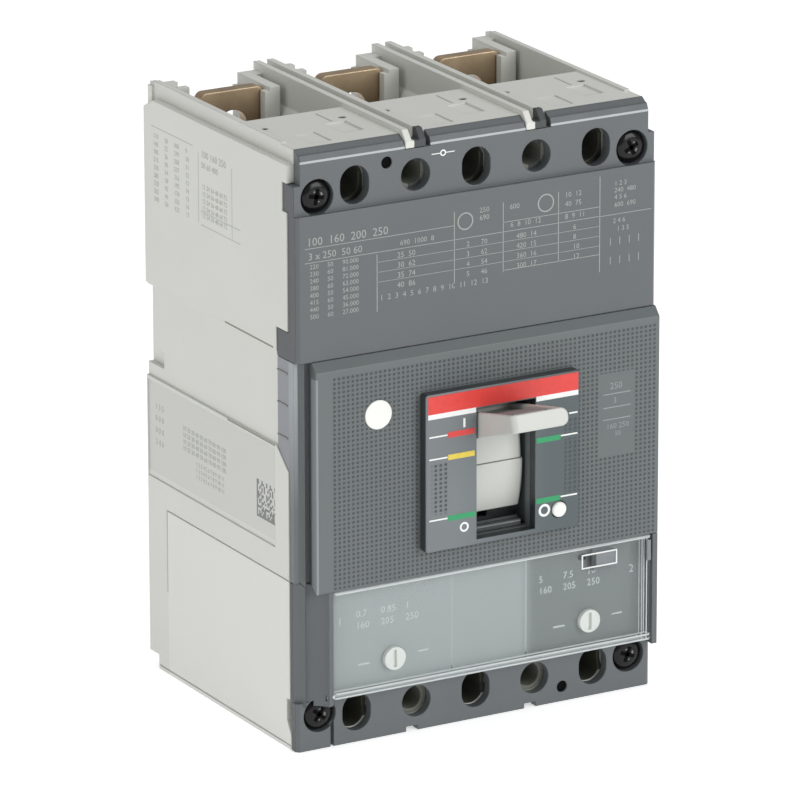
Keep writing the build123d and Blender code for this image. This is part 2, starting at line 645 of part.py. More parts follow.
with BuildPart() as trip_unit_case:
    # Face with two dial holes, and a box open at the back.
    block((window_left, window_right), (-trip_unit_depth, -trip_unit_depth + 2.2),
          (lower_strip_edge + 1.1, window_top - seam))
    wall_back = -trip_unit_back - clearance
    box_bottom = trip_space_bottom + clearance
    block((window_left, window_right - 1.4), (-trip_unit_depth, wall_back), (box_bottom, window_top - seam))
    block((window_left + 1.8, window_right - 3.2), (-trip_unit_depth + 2.2, 0), (box_bottom + 1.8, window_top - 2.0),
          Mode.SUBTRACT)
    # Room for the lower end of the toggle's barrel.
    bore_x(*toggle_axis, barrel_radius + clearance, slot_left, slot_right)
    for x in (left_dial_x, right_dial_x):
        bore_y(x, dial_height, dial_shaft + running, trip_unit_depth + 1, trip_unit_depth - 9)
    # Division lines of the face.
    for x in (-7.2, 14.7):
        block((x - 0.2, x + 0.2), (-trip_unit_depth - 1, -trip_unit_depth + 0.4), (-70, 0), Mode.SUBTRACT)
save(trip_unit_case, "trip_unit_case")


def adjuster_dial(x, name):
    """Slotted dial that turns in the trip unit's face."""
    with BuildPart() as dial:
        bore_y(x, dial_height, dial_radius, trip_unit_depth + 1.4, trip_unit_depth + 0.1, Mode.ADD)
        bore_y(x, dial_height, dial_shaft, trip_unit_depth + 0.1, trip_unit_depth - 2.9, Mode.ADD)
        block((x - 0.45, x + 0.45), (-trip_unit_depth - 2, -trip_unit_depth - 0.7),
              (dial_height - 2.3, dial_height + 2.3), Mode.SUBTRACT)
    save(dial, name)


adjuster_dial(left_dial_x, "adjuster_dial_left")
adjuster_dial(right_dial_x, "adjuster_dial_right")

with BuildPart() as clear_cover:
    left = window_left + seam
    right = window_right - clearance
    low = lower_strip_edge + 0.5
    high = window_top - seam
    block((left, right), (-clear_depth, -clear_depth + clear_wall), (low, high))
    block((left, right), (-clear_depth, -clear_depth + 2.4), (low, low + 1.6))
    # Opening for the seal slider.
    block((seal_left, seal_right), (-case_width, 0), (seal_bottom, seal_top), Mode.SUBTRACT)
    chamfer(clear_cover.faces().sort_by(Axis.Y)[0].outer_wire().edges(), 0.3)
    # Hinge pins.
    bore_x(hinge_depth, hinge_height, pin_radius, column_right - 1.6, left + 1, Mode.ADD)
    bore_x(hinge_depth, hinge_height, pin_radius, right - 1, window_right + 1.0, Mode.ADD)
save(clear_cover, "clear_cover")

with BuildPart() as seal_slider:
    # Rider in the opening and a wider tongue behind the cover.
    rider_left = seal_right - seal_rider - 0.2
    block((rider_left, seal_right - 0.2), (-clear_depth + 0.1, -clear_depth + clear_wall + 0.3),
          (seal_bottom + 0.2, seal_top - 0.2))
    block((rider_left - 0.2, seal_right + 0.8),
          (-clear_depth + clear_wall + 0.1, -clear_depth + clear_wall + 0.8), (seal_bottom - 0.8, seal_top + 0.8))
save(seal_slider, "seal_slider")

with BuildPart() as trip_button:
    bore_y(button_x, button_z, button_radius, bezel_depth + 0.7, fascia_depth - 3.0, Mode.ADD)
    bore_y(button_x, button_z, guide_radius - 1.2 - clearance, fascia_depth - 3.0, fascia_depth - 4.2, Mode.ADD)
    bore_y(button_x, button_z, 0.9, fascia_depth - 4.2, guide_back - 3.0, Mode.ADD)
    chamfer(trip_button.faces().sort_by(Axis.Y)[0].edges(), 0.3)
save(trip_button, "trip_button")


def coil(name, start, end, radius, wire, turns):
    """Compression spring between two points on a straight axis."""
    axis = Vector(end) - Vector(start)
    with BuildPart() as spring:
        with BuildLine() as path:
            Helix(axis.length / turns, axis.length, radius, center=Vector(start), direction=axis)
        with BuildSketch(Plane(origin=path.edges()[0] @ 0, z_dir=path.edges()[0] % 0)):
            Circle(wire)
        sweep(is_frenet=True)
    save(spring, name)


coil("button_spring", (button_x, -fascia_depth + 5.0, button_z), (button_x, -guide_back - 2.0, button_z),
     2.4, 0.35, 5)


def side_plate(points, lane):
    """Plate in a lane between two X places, with a side-view outline of (depth, height) points."""
    with BuildSketch(sideways(lane[0])) as outline:
        with BuildLine():
            Polyline([(-depth, height) for depth, height in points], close=True)
        make_face()
    extrude(outline.sketch, amount=lane[1] - lane[0])


def link_plate(first, second, lane, half_width=link_half_width):
    """Straight link with rounded ends around two joints."""
    with BuildSketch(sideways(lane[0])) as outline:
        with BuildLine():
            Line((-first[0], first[1]), (-second[0], second[1]))
        trace(line_width=2 * half_width)
        with Locations((-first[0], first[1]), (-second[0], second[1])):
            Circle(half_width)
    extrude(outline.sketch, amount=lane[1] - lane[0])


# ---------------------------------------------------------------- current path
for side_name, x in pole_x.items():
    across = (x - bar_width / 2, x + bar_width / 2)
    with BuildPart() as line_terminal:
        # Straight bar from the terminal down to the fixed contact, with rounded upper corners.
        block(across, (-bar_front, -bar_depth), (contact_height - contact_size, z_bar_top))
        fillet(line_terminal.edges().filter_by(Axis.Y).group_by(Axis.Z)[-1], 2.0)
        bore_y(x, z_access_top, terminal_hole / 2, bar_front + 1, bar_depth - 1)
    save(line_terminal, f"line_terminal_{side_name}")

    with BuildPart() as load_terminal:
        # Bar from the load terminal up to the foot of the thermal strip.
        block(across, (-bar_front, -bar_depth), (z_bottom + 0.4, strip_foot + 4.0))
        fillet(load_terminal.edges().filter_by(Axis.Y).group_by(Axis.Z)[0], 2.0)
        bore_y(x, z_access_bottom, terminal_hole / 2, bar_front + 1, bar_depth - 1)
    save(load_terminal, f"load_terminal_{side_name}")

    with BuildPart() as thermal_strip:
        # Foot on the load bar, and the upright that bends when it is hot.
        half = strip_width / 2
        side_plate([(bar_front, strip_foot), (bar_front, strip_foot + 2.0),
                    (strip_front - strip_thickness, strip_foot + 2.0), (strip_front - strip_thickness, strip_head),
                    (strip_front, strip_head), (strip_front, strip_foot)], (x - half, x + half))
    save(thermal_strip, f"thermal_strip_{side_name}")

    with BuildPart() as braid:
        # Flexible strap from the contact arm's root, around a bend, to the head of the thermal strip.
        half = arm_width / 2
        root = crossbar_depth + arm_root
        top = crossbar_height - 1.2
        low = strip_head - 3.8
        bend = root + 8.0
        side_plate([(root, top), (bend - 2, top), (bend, top - 2), (bend, low + 2), (bend - 2, low),
                    (strip_front, low), (strip_front, low + 1.8), (bend - 2.8, low + 1.8),
                    (bend - 1.8, low + 2.8), (bend - 1.8, top - 2.8), (bend - 2.8, top - 1.8),
                    (root, top - 1.8)], (x - half, x + half))
    save(braid, f"braid_{side_name}")

    with BuildPart() as armature:
        # Flap that the yoke pulls in on a short circuit. It hangs from its pin by two ears.
        flap_half = yoke_half - 0.4
        block((x - flap_half, x + flap_half), (-flap_front, -flap_front + flap_thickness),
              (yoke_bottom, flap_pivot[1] + 1.8))
        for ear in (x - flap_half, x + flap_half - 1.2):
            block((ear, ear + 1.2), (-flap_front, -flap_pivot[0] + 1.8), (flap_pivot[1] - 3.0, flap_pivot[1] + 1.8))
        bore_x(flap_pivot[0], flap_pivot[1], flap_pin + running, x - yoke_half, x + yoke_half)
    save(armature, f"armature_{side_name}")

    with BuildPart() as arc_plates:
        # Stack of splitter plates, notched where the arc enters.
        for step in range(plate_count):
            with BuildSketch(facing(plate_first + step * plate_pitch)):
                with Locations((x, (chute_bottom + chute_top) / 2)):
                    Rectangle(2 * plate_half, chute_top - chute_bottom)
                with BuildLine():
                    Polyline([(x - 5, chute_bottom - 1), (x + 5, chute_bottom - 1),
                              (x + 1.2, chute_bottom + 10), (x - 1.2, chute_bottom + 10)], close=True)
                make_face(mode=Mode.SUBTRACT)
            extrude(amount=splitter_thickness)
    save(arc_plates, f"arc_plates_{side_name}")

with BuildPart() as fixed_contacts:
    for x in pole_x.values():
        block((x - contact_size / 2, x + contact_size / 2), (-contact_front, -bar_front),
              (contact_height - contact_size / 2, contact_height + contact_size / 2))
save(fixed_contacts, "fixed_contacts")

with BuildPart() as magnet_yokes:
    # Steel U around each thermal strip, standing on the strip's foot.
    for x in pole_x.values():
        back = strip_front - strip_thickness - 0.8
        block((x - yoke_half, x + yoke_half), (-yoke_front, -back + yoke_wall), (yoke_bottom, yoke_top))
        block((x - yoke_half + yoke_wall, x + yoke_half - yoke_wall), (-yoke_front - 1, -back),
              (yoke_bottom - 1, yoke_top + 1), Mode.SUBTRACT)
save(magnet_yokes, "magnet_yokes")

with BuildPart() as arc_cheeks:
    # Fibre side boards between the splitter plates and the walls.
    cheek_front = plate_first + (plate_count - 1) * plate_pitch + splitter_thickness + 1.2
    for x in pole_x.values():
        left, right = span(x, chamber_half - clearance, inner_half - clearance)
        for board in ((left, x - plate_half), (x + plate_half, right)):
            block(board, (-cheek_front, -plate_first + 1.2), (chute_bottom - 1, chute_top + 0.6))
save(arc_cheeks, "arc_cheeks")

# ---------------------------------------------------------------- crossbar and contact arms
lug_back = crossbar_depth + arm_root + lug_gap
with BuildPart() as crossbar:
    bore_x(crossbar_depth, crossbar_height, crossbar_radius, -crossbar_half, crossbar_half, Mode.ADD)
    for x in pole_x.values():
        # Seat of the contact arm, open at the top.
        inner = arm_width / 2 + 0.1
        block((x - inner, x + inner), (-case_width, 0), (crossbar_height - arm_foot, 0), Mode.SUBTRACT)
        # Two cheeks carry the lug that backs the contact spring.
        for cheek in ((x - inner - 1.2, x - inner), (x + inner, x + inner + 1.2)):
            block(cheek, (-lug_back, -crossbar_depth), (crossbar_height - 1, crossbar_height + 2))
        block((x - inner - 1.2, x + inner + 1.2), (-lug_back - lug_thickness, -lug_back),
              (crossbar_height - 1, crossbar_height + contact_spring_height + 3))
    # Lever for the lower link.
    side_plate([(crossbar_depth + 3.4, crossbar_height), (lever_joint[0] + 3.2, lever_joint[1]),
                (lever_joint[0] + 1.6, lever_joint[1] + 3.0), (lever_joint[0] - 1.6, lever_joint[1] + 3.0),
                (lever_joint[0] - 3.2, lever_joint[1]), (crossbar_depth - 5.4, crossbar_height)], lever_lane)
    bore_x(lever_joint[0], lever_joint[1], link_pin + running, lever_lane[0] - 1, lever_lane[1] + 1)
save(crossbar, "crossbar")

for side_name, x in pole_x.items():
    with BuildPart() as contact_arm:
        tip = contact_front + contact_thickness
        top = crossbar_height + arm_reach
        neck = crossbar_height + arm_neck
        side_plate([(crossbar_depth + arm_root, crossbar_height - arm_foot), (crossbar_depth + arm_root, neck),
                    (tip + 5, top - 5), (tip + 3, top), (tip, top), (tip, contact_height - contact_size),
                    (crossbar_depth - arm_root, neck), (crossbar_depth - arm_root, crossbar_height - arm_foot)],
                   (x - arm_width / 2, x + arm_width / 2))
    save(contact_arm, f"contact_arm_{side_name}")

with BuildPart() as moving_contacts:
    for x in pole_x.values():
        block((x - contact_size / 2, x + contact_size / 2),
              (-contact_front - contact_thickness, -contact_front - 0.02),
              (contact_height - contact_size / 2, contact_height + contact_size / 2))
save(moving_contacts, "moving_contacts")

# ---------------------------------------------------------------- toggle and mechanism
with BuildPart() as toggle:
    axis_point = (-toggle_pivot_depth, toggle_pivot_height)
    blade = (slot_left + blade_gap, slot_right - blade_gap)
    up = (sin(radians(toggle_rest_angle)), cos(radians(toggle_rest_angle)))
    root = turned(*toggle_axis, toggle_rest_angle, barrel_radius - barrel_wall / 2)
    tip = turned(*toggle_axis, toggle_rest_angle, blade_reach)
    root_half = blade_root_thickness / 2
    tip_half = blade_tip_thickness / 2
    # Blade, tapering to its tip.
    with BuildSketch(sideways(blade[0])):
        with BuildLine():
            Polyline([(root[0] + up[0] * root_half, root[1] + up[1] * root_half),
                      (tip[0] + up[0] * tip_half, tip[1] + up[1] * tip_half),
                      (tip[0] - up[0] * tip_half, tip[1] - up[1] * tip_half),
                      (root[0] - up[0] * root_half, root[1] - up[1] * root_half)], close=True)
        make_face()
    extrude(amount=blade[1] - blade[0])
    fillet(toggle.edges().filter_by(Axis.X).group_by(Axis.Y)[0], 1.6)
    # Barrel that closes the slot.
    with BuildSketch(sideways(blade[0])):
        with Locations(axis_point):
            Circle(barrel_radius)
            Circle(barrel_radius - barrel_wall, mode=Mode.SUBTRACT)
        with BuildLine():
            Polyline([axis_point, turned(*toggle_axis, toggle_rest_angle + barrel_half_angle, 70),
                      turned(*toggle_axis, toggle_rest_angle - barrel_half_angle, 70)], close=True)
        make_face(mode=Mode.INTERSECT)
    extrude(amount=blade[1] - blade[0])
    # Neck through the shield's slot, and the hub on the pivot pin.
    neck_end = turned(*toggle_axis, toggle_rest_angle, barrel_radius - barrel_wall + 0.6)
    with BuildSketch(sideways(neck_lane[0])):
        with BuildLine():
            Polyline([(axis_point[0] + up[0] * 3, axis_point[1] + up[1] * 3),
                      (neck_end[0] + up[0] * 3, neck_end[1] + up[1] * 3),
                      (neck_end[0] - up[0] * 3, neck_end[1] - up[1] * 3),
                      (axis_point[0] - up[0] * 3, axis_point[1] - up[1] * 3)], close=True)
        make_face()
        with Locations(axis_point):
            Circle(hub_radius)
    extrude(amount=neck_lane[1] - neck_lane[0])
    bore_x(*toggle_axis, hub_bore + running, neck_lane[0] - 1, neck_lane[1] + 1)
save(toggle, "toggle")

with BuildPart() as handle_yoke:
    # Steel arm beside the toggle's hub. It carries the front anchor of the main springs.
    anchor_end = turned(*toggle_axis, toggle_rest_angle, spring_anchor)
    link_plate(toggle_axis, (-anchor_end[0], anchor_end[1]), yoke_lane)
    bore_x(*toggle_axis, hub_bore + running, yoke_lane[0] - 1, yoke_lane[1] + 1)
    bore_x(-anchor_end[0], anchor_end[1], link_pin, yoke_lane[0], spring_lane[1], Mode.ADD)
save(handle_yoke, "handle_yoke")

with BuildPart() as toggle_pin:
    bore_x(*toggle_axis, hub_bore, left_plate[0], right_plate[1], Mode.ADD)
save(toggle_pin, "toggle_pin")

with BuildPart() as mechanism_plates:
    # Two steel side plates on either side of the linkage.
    outline_points = [(33, -28), (62, -28), (65, -20), (66, -6), (63, 8), (58, 25), (50, 25), (47.5, 21), (30, 21),
                      (30, 10), (33, 4)]
    for lane in (left_plate, right_plate):
        side_plate(outline_points, lane)
    bore_x(*toggle_axis, hub_bore + running, left_plate[0] - 1, right_plate[1] + 1)
    for joint in spacer_joints:
        bore_x(*joint, hub_bore + running, left_plate[0] - 1, right_plate[1] + 1)
    bore_x(*cradle_pivot, hub_bore + running, right_plate[0] - 1, right_plate[1] + 1)
save(mechanism_plates, "mechanism_plates")

with BuildPart() as mechanism_pins:
    # Pins through both plates, reaching from wall to wall.
    for joint in spacer_joints:
        bore_x(*joint, hub_bore, -chamber_half + 0.1, chamber_half - 0.1, Mode.ADD)
save(mechanism_pins, "mechanism_pins")

with BuildPart() as cradle_shaft:
    bore_x(*cradle_pivot, hub_bore, lever_lane[0] - 0.4, right_plate[1], Mode.ADD)
save(cradle_shaft, "cradle_shaft")

with BuildPart() as cradle:
    # Latched lever that holds the upper end of the linkage.
    side_plate([(cradle_pivot[0] - 3.6, cradle_pivot[1] + 3.2), (cradle_pivot[0] + 3.2, cradle_pivot[1] + 3.2),
                (cradle_joint[0] + 3.4, cradle_joint[1] + 1.0), (cradle_latch[0] + 1.6, cradle_latch[1]),
                (cradle_latch[0] - 3.0, cradle_latch[1]), (cradle_joint[0] - 3.4, cradle_joint[1] - 3.0),
                (cradle_pivot[0] - 3.6, cradle_pivot[1] - 3.2)], lever_lane)
    bore_x(*cradle_pivot, hub_bore + running, lever_lane[0] - 1, lever_lane[1] + 1)
    bore_x(*cradle_joint, link_pin + running, lever_lane[0] - 1, lever_lane[1] + 1)
save(cradle, "cradle")

with BuildPart() as cradle_pin:
    bore_x(*cradle_joint, link_pin, upper_lane[0], lever_lane[1], Mode.ADD)
save(cradle_pin, "cradle_pin")

with BuildPart() as knee_pin:
    bore_x(*knee_joint, link_pin, spring_lane[0], lower_lane[1], Mode.ADD)
save(knee_pin, "knee_pin")

with BuildPart() as lever_pin:
    bore_x(*lever_joint, link_pin, lower_lane[0], lever_lane[1], Mode.ADD)
save(lever_pin, "lever_pin")

with BuildPart() as upper_link:
    link_plate(cradle_joint, knee_joint, upper_lane, upper_link_half_width)
    bore_x(*cradle_joint, link_pin + running, upper_lane[0] - 1, upper_lane[1] + 1)
    bore_x(*knee_joint, link_pin + knee_slot, upper_lane[0] - 1, upper_lane[1] + 1)
save(upper_link, "upper_link")

with BuildPart() as lower_link:
    link_plate(knee_joint, lever_joint, lower_lane)
    bore_x(*knee_joint, link_pin + running, lower_lane[0] - 1, lower_lane[1] + 1)
    bore_x(*lever_joint, link_pin + running, lower_lane[0] - 1, lower_lane[1] + 1)
save(lower_link, "lower_link")

# ---------------------------------------------------------------- trip bar
with BuildPart() as trip_bar:
    bore_x(*trip_axis, trip_radius, -trip_half, trip_half, Mode.ADD)
    screw_depth = strip_front + 3.5
    for x in pole_x.values():
        # Finger in front of each thermal strip.
        finger = (x + finger_lane[0], x + finger_lane[1])
        side_plate([(trip_axis[0], trip_axis[1] + 1.6), (trip_axis[0] - 6, strip_head - 0.8),
                    (screw_depth, strip_head - 0.8), (screw_depth, strip_head - 3.8),
                    (trip_axis[0] - 8, strip_head - 3.8), (trip_axis[0] - 1.6, trip_axis[1] - 1.6)], finger)
        bore_y(x + sum(finger_lane) / 2, strip_head - 2.3, calibration_radius, screw_depth + 4, screw_depth - 1)
    # Finger that stands in front of the cradle's latch end and holds it.
    latch_front = cradle_latch[0] + 2.0
    side_plate([(trip_axis[0] - 2, trip_axis[1]), (trip_axis[0] + 6, trip_axis[1] + 10),
                (latch_front, cradle_latch[1] - 2), (latch_front, cradle_latch[1] + 2.5),
                (latch_front + 2, cradle_latch[1] + 2.5), (latch_front + 2, cradle_latch[1] - 3),
                (trip_axis[0] + 10, trip_axis[1] + 9), (trip_axis[0] + 2, trip_axis[1])], lever_lane)
save(trip_bar, "trip_bar")

with BuildPart() as calibration_screws:
    for x in pole_x.values():
        bore_y(x + sum(finger_lane) / 2, strip_head - 2.3, calibration_radius, screw_depth + 3.0,
               strip_front + 0.4, Mode.ADD)
save(calibration_screws, "calibration_screws")

with BuildPart() as armature_pins:
    for x in pole_x.values():
        left, right = span(x, chamber_half - 0.1, inner_half - 0.1)
        bore_x(*flap_pivot, flap_pin, left, right, Mode.ADD)
save(armature_pins, "armature_pins")

# ---------------------------------------------------------------- springs inside
with BuildPart() as contact_springs:
    for x in pole_x.values():
        height = crossbar_height + contact_spring_height
        start = Vector(x, -crossbar_depth - arm_root - 0.4, height)
        with BuildLine():
            contact_helix = Helix(0.95, lug_gap - 0.8, contact_spring_radius, center=start, direction=(0, -1, 0))
        with BuildSketch(Plane(origin=contact_helix @ 0, z_dir=contact_helix % 0)):
            Circle(0.32)
        sweep(path=contact_helix, is_frenet=True)
save(contact_springs, "contact_springs")

spring_x = sum(spring_lane) / 2
knee_point = Vector(spring_x, -knee_joint[0], knee_joint[1])
anchor_point = Vector(spring_x, *anchor_end)
spring_way = (anchor_point - knee_point).normalized()
coil("main_spring", knee_point + spring_way * 1.6, anchor_point - spring_way * 1.6, 0.95, spring_wire, 16)
coil("trip_spring", (22.0, -trip_axis[0], trip_axis[1]), (27.0, -trip_axis[0], trip_axis[1]),
     trip_radius + 0.45, spring_wire, 5)
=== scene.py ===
"""Looks of a three-pole molded case circuit breaker: finishes, printed marks, handle and small mouldings.

Row frame in metres: +Z up, +X to the right of someone facing the front, and the front faces -Y.
Places below are in millimetres. A depth is measured in front of the mounting plane, so it lies at -Y.
"""
import json
from math import cos, pi, radians, sin

import bmesh
import bpy
from mathutils import Matrix, Vector


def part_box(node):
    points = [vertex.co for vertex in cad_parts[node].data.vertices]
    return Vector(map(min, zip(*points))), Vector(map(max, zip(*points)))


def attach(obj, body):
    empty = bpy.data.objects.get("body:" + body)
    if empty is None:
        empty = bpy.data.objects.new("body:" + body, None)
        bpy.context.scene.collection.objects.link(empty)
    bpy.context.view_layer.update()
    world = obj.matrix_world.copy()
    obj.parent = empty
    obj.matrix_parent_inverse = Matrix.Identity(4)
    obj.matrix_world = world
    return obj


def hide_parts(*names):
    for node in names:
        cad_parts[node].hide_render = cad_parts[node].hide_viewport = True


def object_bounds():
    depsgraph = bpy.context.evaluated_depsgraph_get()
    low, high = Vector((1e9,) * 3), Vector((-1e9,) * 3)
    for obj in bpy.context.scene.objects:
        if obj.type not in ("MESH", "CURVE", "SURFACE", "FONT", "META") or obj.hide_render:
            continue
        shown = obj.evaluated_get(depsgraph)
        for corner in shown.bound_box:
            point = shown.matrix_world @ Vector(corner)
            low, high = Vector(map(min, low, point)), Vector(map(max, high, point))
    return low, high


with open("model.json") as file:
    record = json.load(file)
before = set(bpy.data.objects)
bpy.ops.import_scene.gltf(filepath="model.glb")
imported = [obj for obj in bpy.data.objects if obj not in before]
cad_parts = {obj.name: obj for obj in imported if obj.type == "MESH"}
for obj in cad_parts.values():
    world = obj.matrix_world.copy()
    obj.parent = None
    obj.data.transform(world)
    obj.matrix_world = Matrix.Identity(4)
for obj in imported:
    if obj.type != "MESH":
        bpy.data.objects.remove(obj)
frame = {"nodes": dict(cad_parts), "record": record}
cad_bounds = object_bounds()

MM = 0.001


def corners(node):
    """Lowest and highest corner of a CAD node, in millimetres."""
    low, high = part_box(node)
    return Vector(low) / MM, Vector(high) / MM


# ---------------------------------------------------------------- places taken from the frame
POLE_PITCH = 35.0
BARRIERS = (-POLE_PITCH / 2, POLE_PITCH / 2)
FIXING_HEIGHT = 69.75
ACCESS_HEIGHT = 69.55

base_low, base_high = corners("base_case")
cover_low = corners("upper_cover")[0]
fascia_low = corners("front_fascia")[0]
bezel_low, bezel_high = corners("escutcheon")
clear_low, clear_high = corners("clear_cover")
trip_low, trip_high = corners("trip_unit_case")
toggle_low, toggle_high = corners("toggle")

SIDE = -base_low.x                      # half width
RIM = 75.8                              # front rim of the light housing
STRIP = 79.1                            # terminal strips
DATA = -cover_low.y                     # plain field of the upper cover
FASCIA = -fascia_low.y
BEZEL = -bezel_low.y
CLEAR = -clear_low.y
TRIP = -trip_low.y
BEVEL_EDGE = 77.3                       # upper edge of the upper terminal strip
# Cover screws: X, Z and the turn of the cross in degrees.
SCREWS = ((-45.7, 67.9, 10), (45.7, 67.9, 64), (-45.7, -68.4, 38), (45.7, -68.4, 20))
PROBE_HOLES = ((-25.8, 74.0), (25.8, -73.6))
SLOT_LEFT = -3.4


# ---------------------------------------------------------------- node helpers
class Tree:
    """Adds and links the shader nodes of one material."""

    def __init__(self, name):
        self.material = bpy.data.materials.new(name)
        self.material.use_nodes = True
        self.nodes = self.material.node_tree.nodes
        self.links = self.material.node_tree.links
        self.surface = self.nodes["Principled BSDF"]
        self.output = self.nodes["Material Output"]
        coordinates = self.nodes.new("ShaderNodeTexCoord")
        self.place = coordinates.outputs["Object"]
        split = self.nodes.new("ShaderNodeSeparateXYZ")
        self.links.new(self.place, split.inputs[0])
        self.x, self.y, self.z = split.outputs

    def feed(self, socket, value):
        if isinstance(value, (int, float)):
            socket.default_value = value
        elif isinstance(value, (tuple, list)):
            socket.default_value = (*value[:3], 1.0)
        else:
            self.links.new(value, socket)

    def math(self, operation, *values):
        node = self.nodes.new("ShaderNodeMath")
        node.operation = operation
        for socket, value in zip(node.inputs, values):
            self.feed(socket, value)
        return node.outputs[0]

    def product(self, *values):
        total = values[0]
        for value in values[1:]:
            total = self.math("MULTIPLY", total, value)
        return total

    def largest(self, *values):
        total = values[0]
        for value in values[1:]:
            total = self.math("MAXIMUM", total, value)
        return total

    def noise(self, scale, detail=2.0, rough=0.5):
        node = self.nodes.new("ShaderNodeTexNoise")
        node.inputs["Scale"].default_value = scale
        node.inputs["Detail"].default_value = detail
        node.inputs["Roughness"].default_value = rough
        self.links.new(self.place, node.inputs["Vector"])
        return node.outputs["Fac"]

    def ramp(self, value, low, high, out_low=0.0, out_high=1.0):
        node = self.nodes.new("ShaderNodeMapRange")
        self.links.new(value, node.inputs["Value"])
        for key, number in (("From Min", low), ("From Max", high), ("To Min", out_low), ("To Max", out_high)):
            node.inputs[key].default_value = number
        return node.outputs["Result"]

    def mix(self, factor, first, second):
        node = self.nodes.new("ShaderNodeMix")
        node.data_type = "RGBA"
        for index, value in ((0, factor), (6, first), (7, second)):
            self.feed(node.inputs[index], value)
        return node.outputs[2]

    def above(self, value, limit):
        return self.math("GREATER_THAN", value, limit * MM)

    def below(self, value, limit):
        return self.math("LESS_THAN", value, limit * MM)

    def within(self, value, low, high):
        """1 between two places, in millimetres."""
        return self.math("MULTIPLY", self.above(value, low), self.below(value, high))

    def from_nearest(self, value, first, pitch):
        """Distance to the nearest of a row of places."""
        turns = self.math("DIVIDE", self.math("SUBTRACT", value, (first - pitch / 2) * MM), pitch * MM)
        away = self.math("SUBTRACT", self.math("FRACT", turns), 0.5)
        return self.math("MULTIPLY", self.math("ABSOLUTE", away), pitch * MM)

    def bump(self, height, strength, distance, normal=None):
        node = self.nodes.new("ShaderNodeBump")
        node.inputs["Strength"].default_value = strength
        node.inputs["Distance"].default_value = distance
        self.links.new(height, node.inputs["Height"])
        if normal is not None:
            self.links.new(normal, node.inputs["Normal"])
        return node.outputs["Normal"]

    def rounded(self, radius, samples=6):
        node = self.nodes.new("ShaderNodeBevel")
        node.samples = samples
        node.inputs["Radius"].default_value = radius * MM
        return node.outputs["Normal"]

    def paint(self, mask, colour):
        """Lays a colour over the base colour where a mask is 1."""
        socket = self.surface.inputs["Base Color"]
        under = socket.links[0].from_socket
        self.links.new(self.mix(mask, under, colour), socket)

    def press(self, mask, depth):
        """Presses the surface in by a depth in millimetres where a mask is 1."""
        socket = self.surface.inputs["Normal"]
        under = socket.links[0].from_socket
        self.links.new(self.bump(self.math("MULTIPLY", mask, -1.0), 0.7, depth * MM, under), socket)


def srgb(r, g, b):
    """Linear colour from 8-bit screen values."""
    def linear(value):
        value /= 255
        return value / 12.92 if value <= 0.04045 else ((value + 0.055) / 1.055) ** 2.4
    return (linear(r), linear(g), linear(b))


def plastic(name, colour, rough=0.45, grain=0.10, edge=0.35, cloud=0.04, specular=0.5):
    """Moulded plastic with a fine grain, a faint cloudiness and slightly rounded edges."""
    tree = Tree(name)
    shade = tree.ramp(tree.noise(38.0, 3.0), 0.3, 0.7, 1.0 - cloud, 1.0 + cloud)
    base = tree.nodes.new("ShaderNodeVectorMath")
    base.operation = "SCALE"
    base.inputs[0].default_value = colour
    tree.links.new(shade, base.inputs["Scale"])
    tree.links.new(base.outputs[0], tree.surface.inputs["Base Color"])
    tree.surface.inputs["Specular IOR Level"].default_value = specular
    tree.links.new(tree.ramp(tree.noise(210.0, 2.0), 0.3, 0.7, rough - 0.03, rough + 0.03),
                   tree.surface.inputs["Roughness"])
    normal = tree.bump(tree.noise(2600.0, 2.0), grain, 0.0002, tree.rounded(edge))
    tree.links.new(normal, tree.surface.inputs["Normal"])
    return tree


def metal(name, colour, rough=0.35, brush=(1.0, 1.0, 1.0), grain=0.15, edge=0.2):
    """Metal with a brushed or rolled grain and uneven tarnish."""
    tree = Tree(name)
    mapping = tree.nodes.new("ShaderNodeMapping")
    mapping.inputs["Scale"].default_value = brush
    tree.links.new(tree.place, mapping.inputs["Vector"])
    noise = tree.nodes.new("ShaderNodeTexNoise")
    noise.inputs["Scale"].default_value = 1800.0
    noise.inputs["Detail"].default_value = 3.0
    tree.links.new(mapping.outputs[0], noise.inputs["Vector"])
    patches = tree.ramp(tree.noise(120.0, 4.0, 0.6), 0.3, 0.7, 0.82, 1.12)
    base = tree.nodes.new("ShaderNodeVectorMath")
    base.operation = "SCALE"
    base.inputs[0].default_value = colour
    tree.links.new(patches, base.inputs["Scale"])
    tree.links.new(base.outputs[0], tree.surface.inputs["Base Color"])
    tree.surface.inputs["Metallic"].default_value = 1.0
    tree.links.new(tree.ramp(noise.outputs["Fac"], 0.3, 0.7, rough - 0.06, rough + 0.08),
                   tree.surface.inputs["Roughness"])
    normal = tree.bump(noise.outputs["Fac"], grain, 0.0001, tree.rounded(edge))
    tree.links.new(normal, tree.surface.inputs["Normal"])
    return tree


def ink(name, colour, rough=0.4):
    """Flat print, with a slightly uneven film."""
    tree = Tree(name)
    worn = tree.ramp(tree.noise(700.0, 3.0), 0.25, 0.75, 0.93, 1.04)
    base = tree.nodes.new("ShaderNodeVectorMath")
    base.operation = "SCALE"
    base.inputs[0].default_value = colour
    tree.links.new(worn, base.inputs["Scale"])
    tree.links.new(base.outputs[0], tree.surface.inputs["Base Color"])
    tree.links.new(tree.ramp(tree.noise(900.0), 0.3, 0.7, rough - 0.04, rough + 0.04),
                   tree.surface.inputs["Roughness"])
    return tree


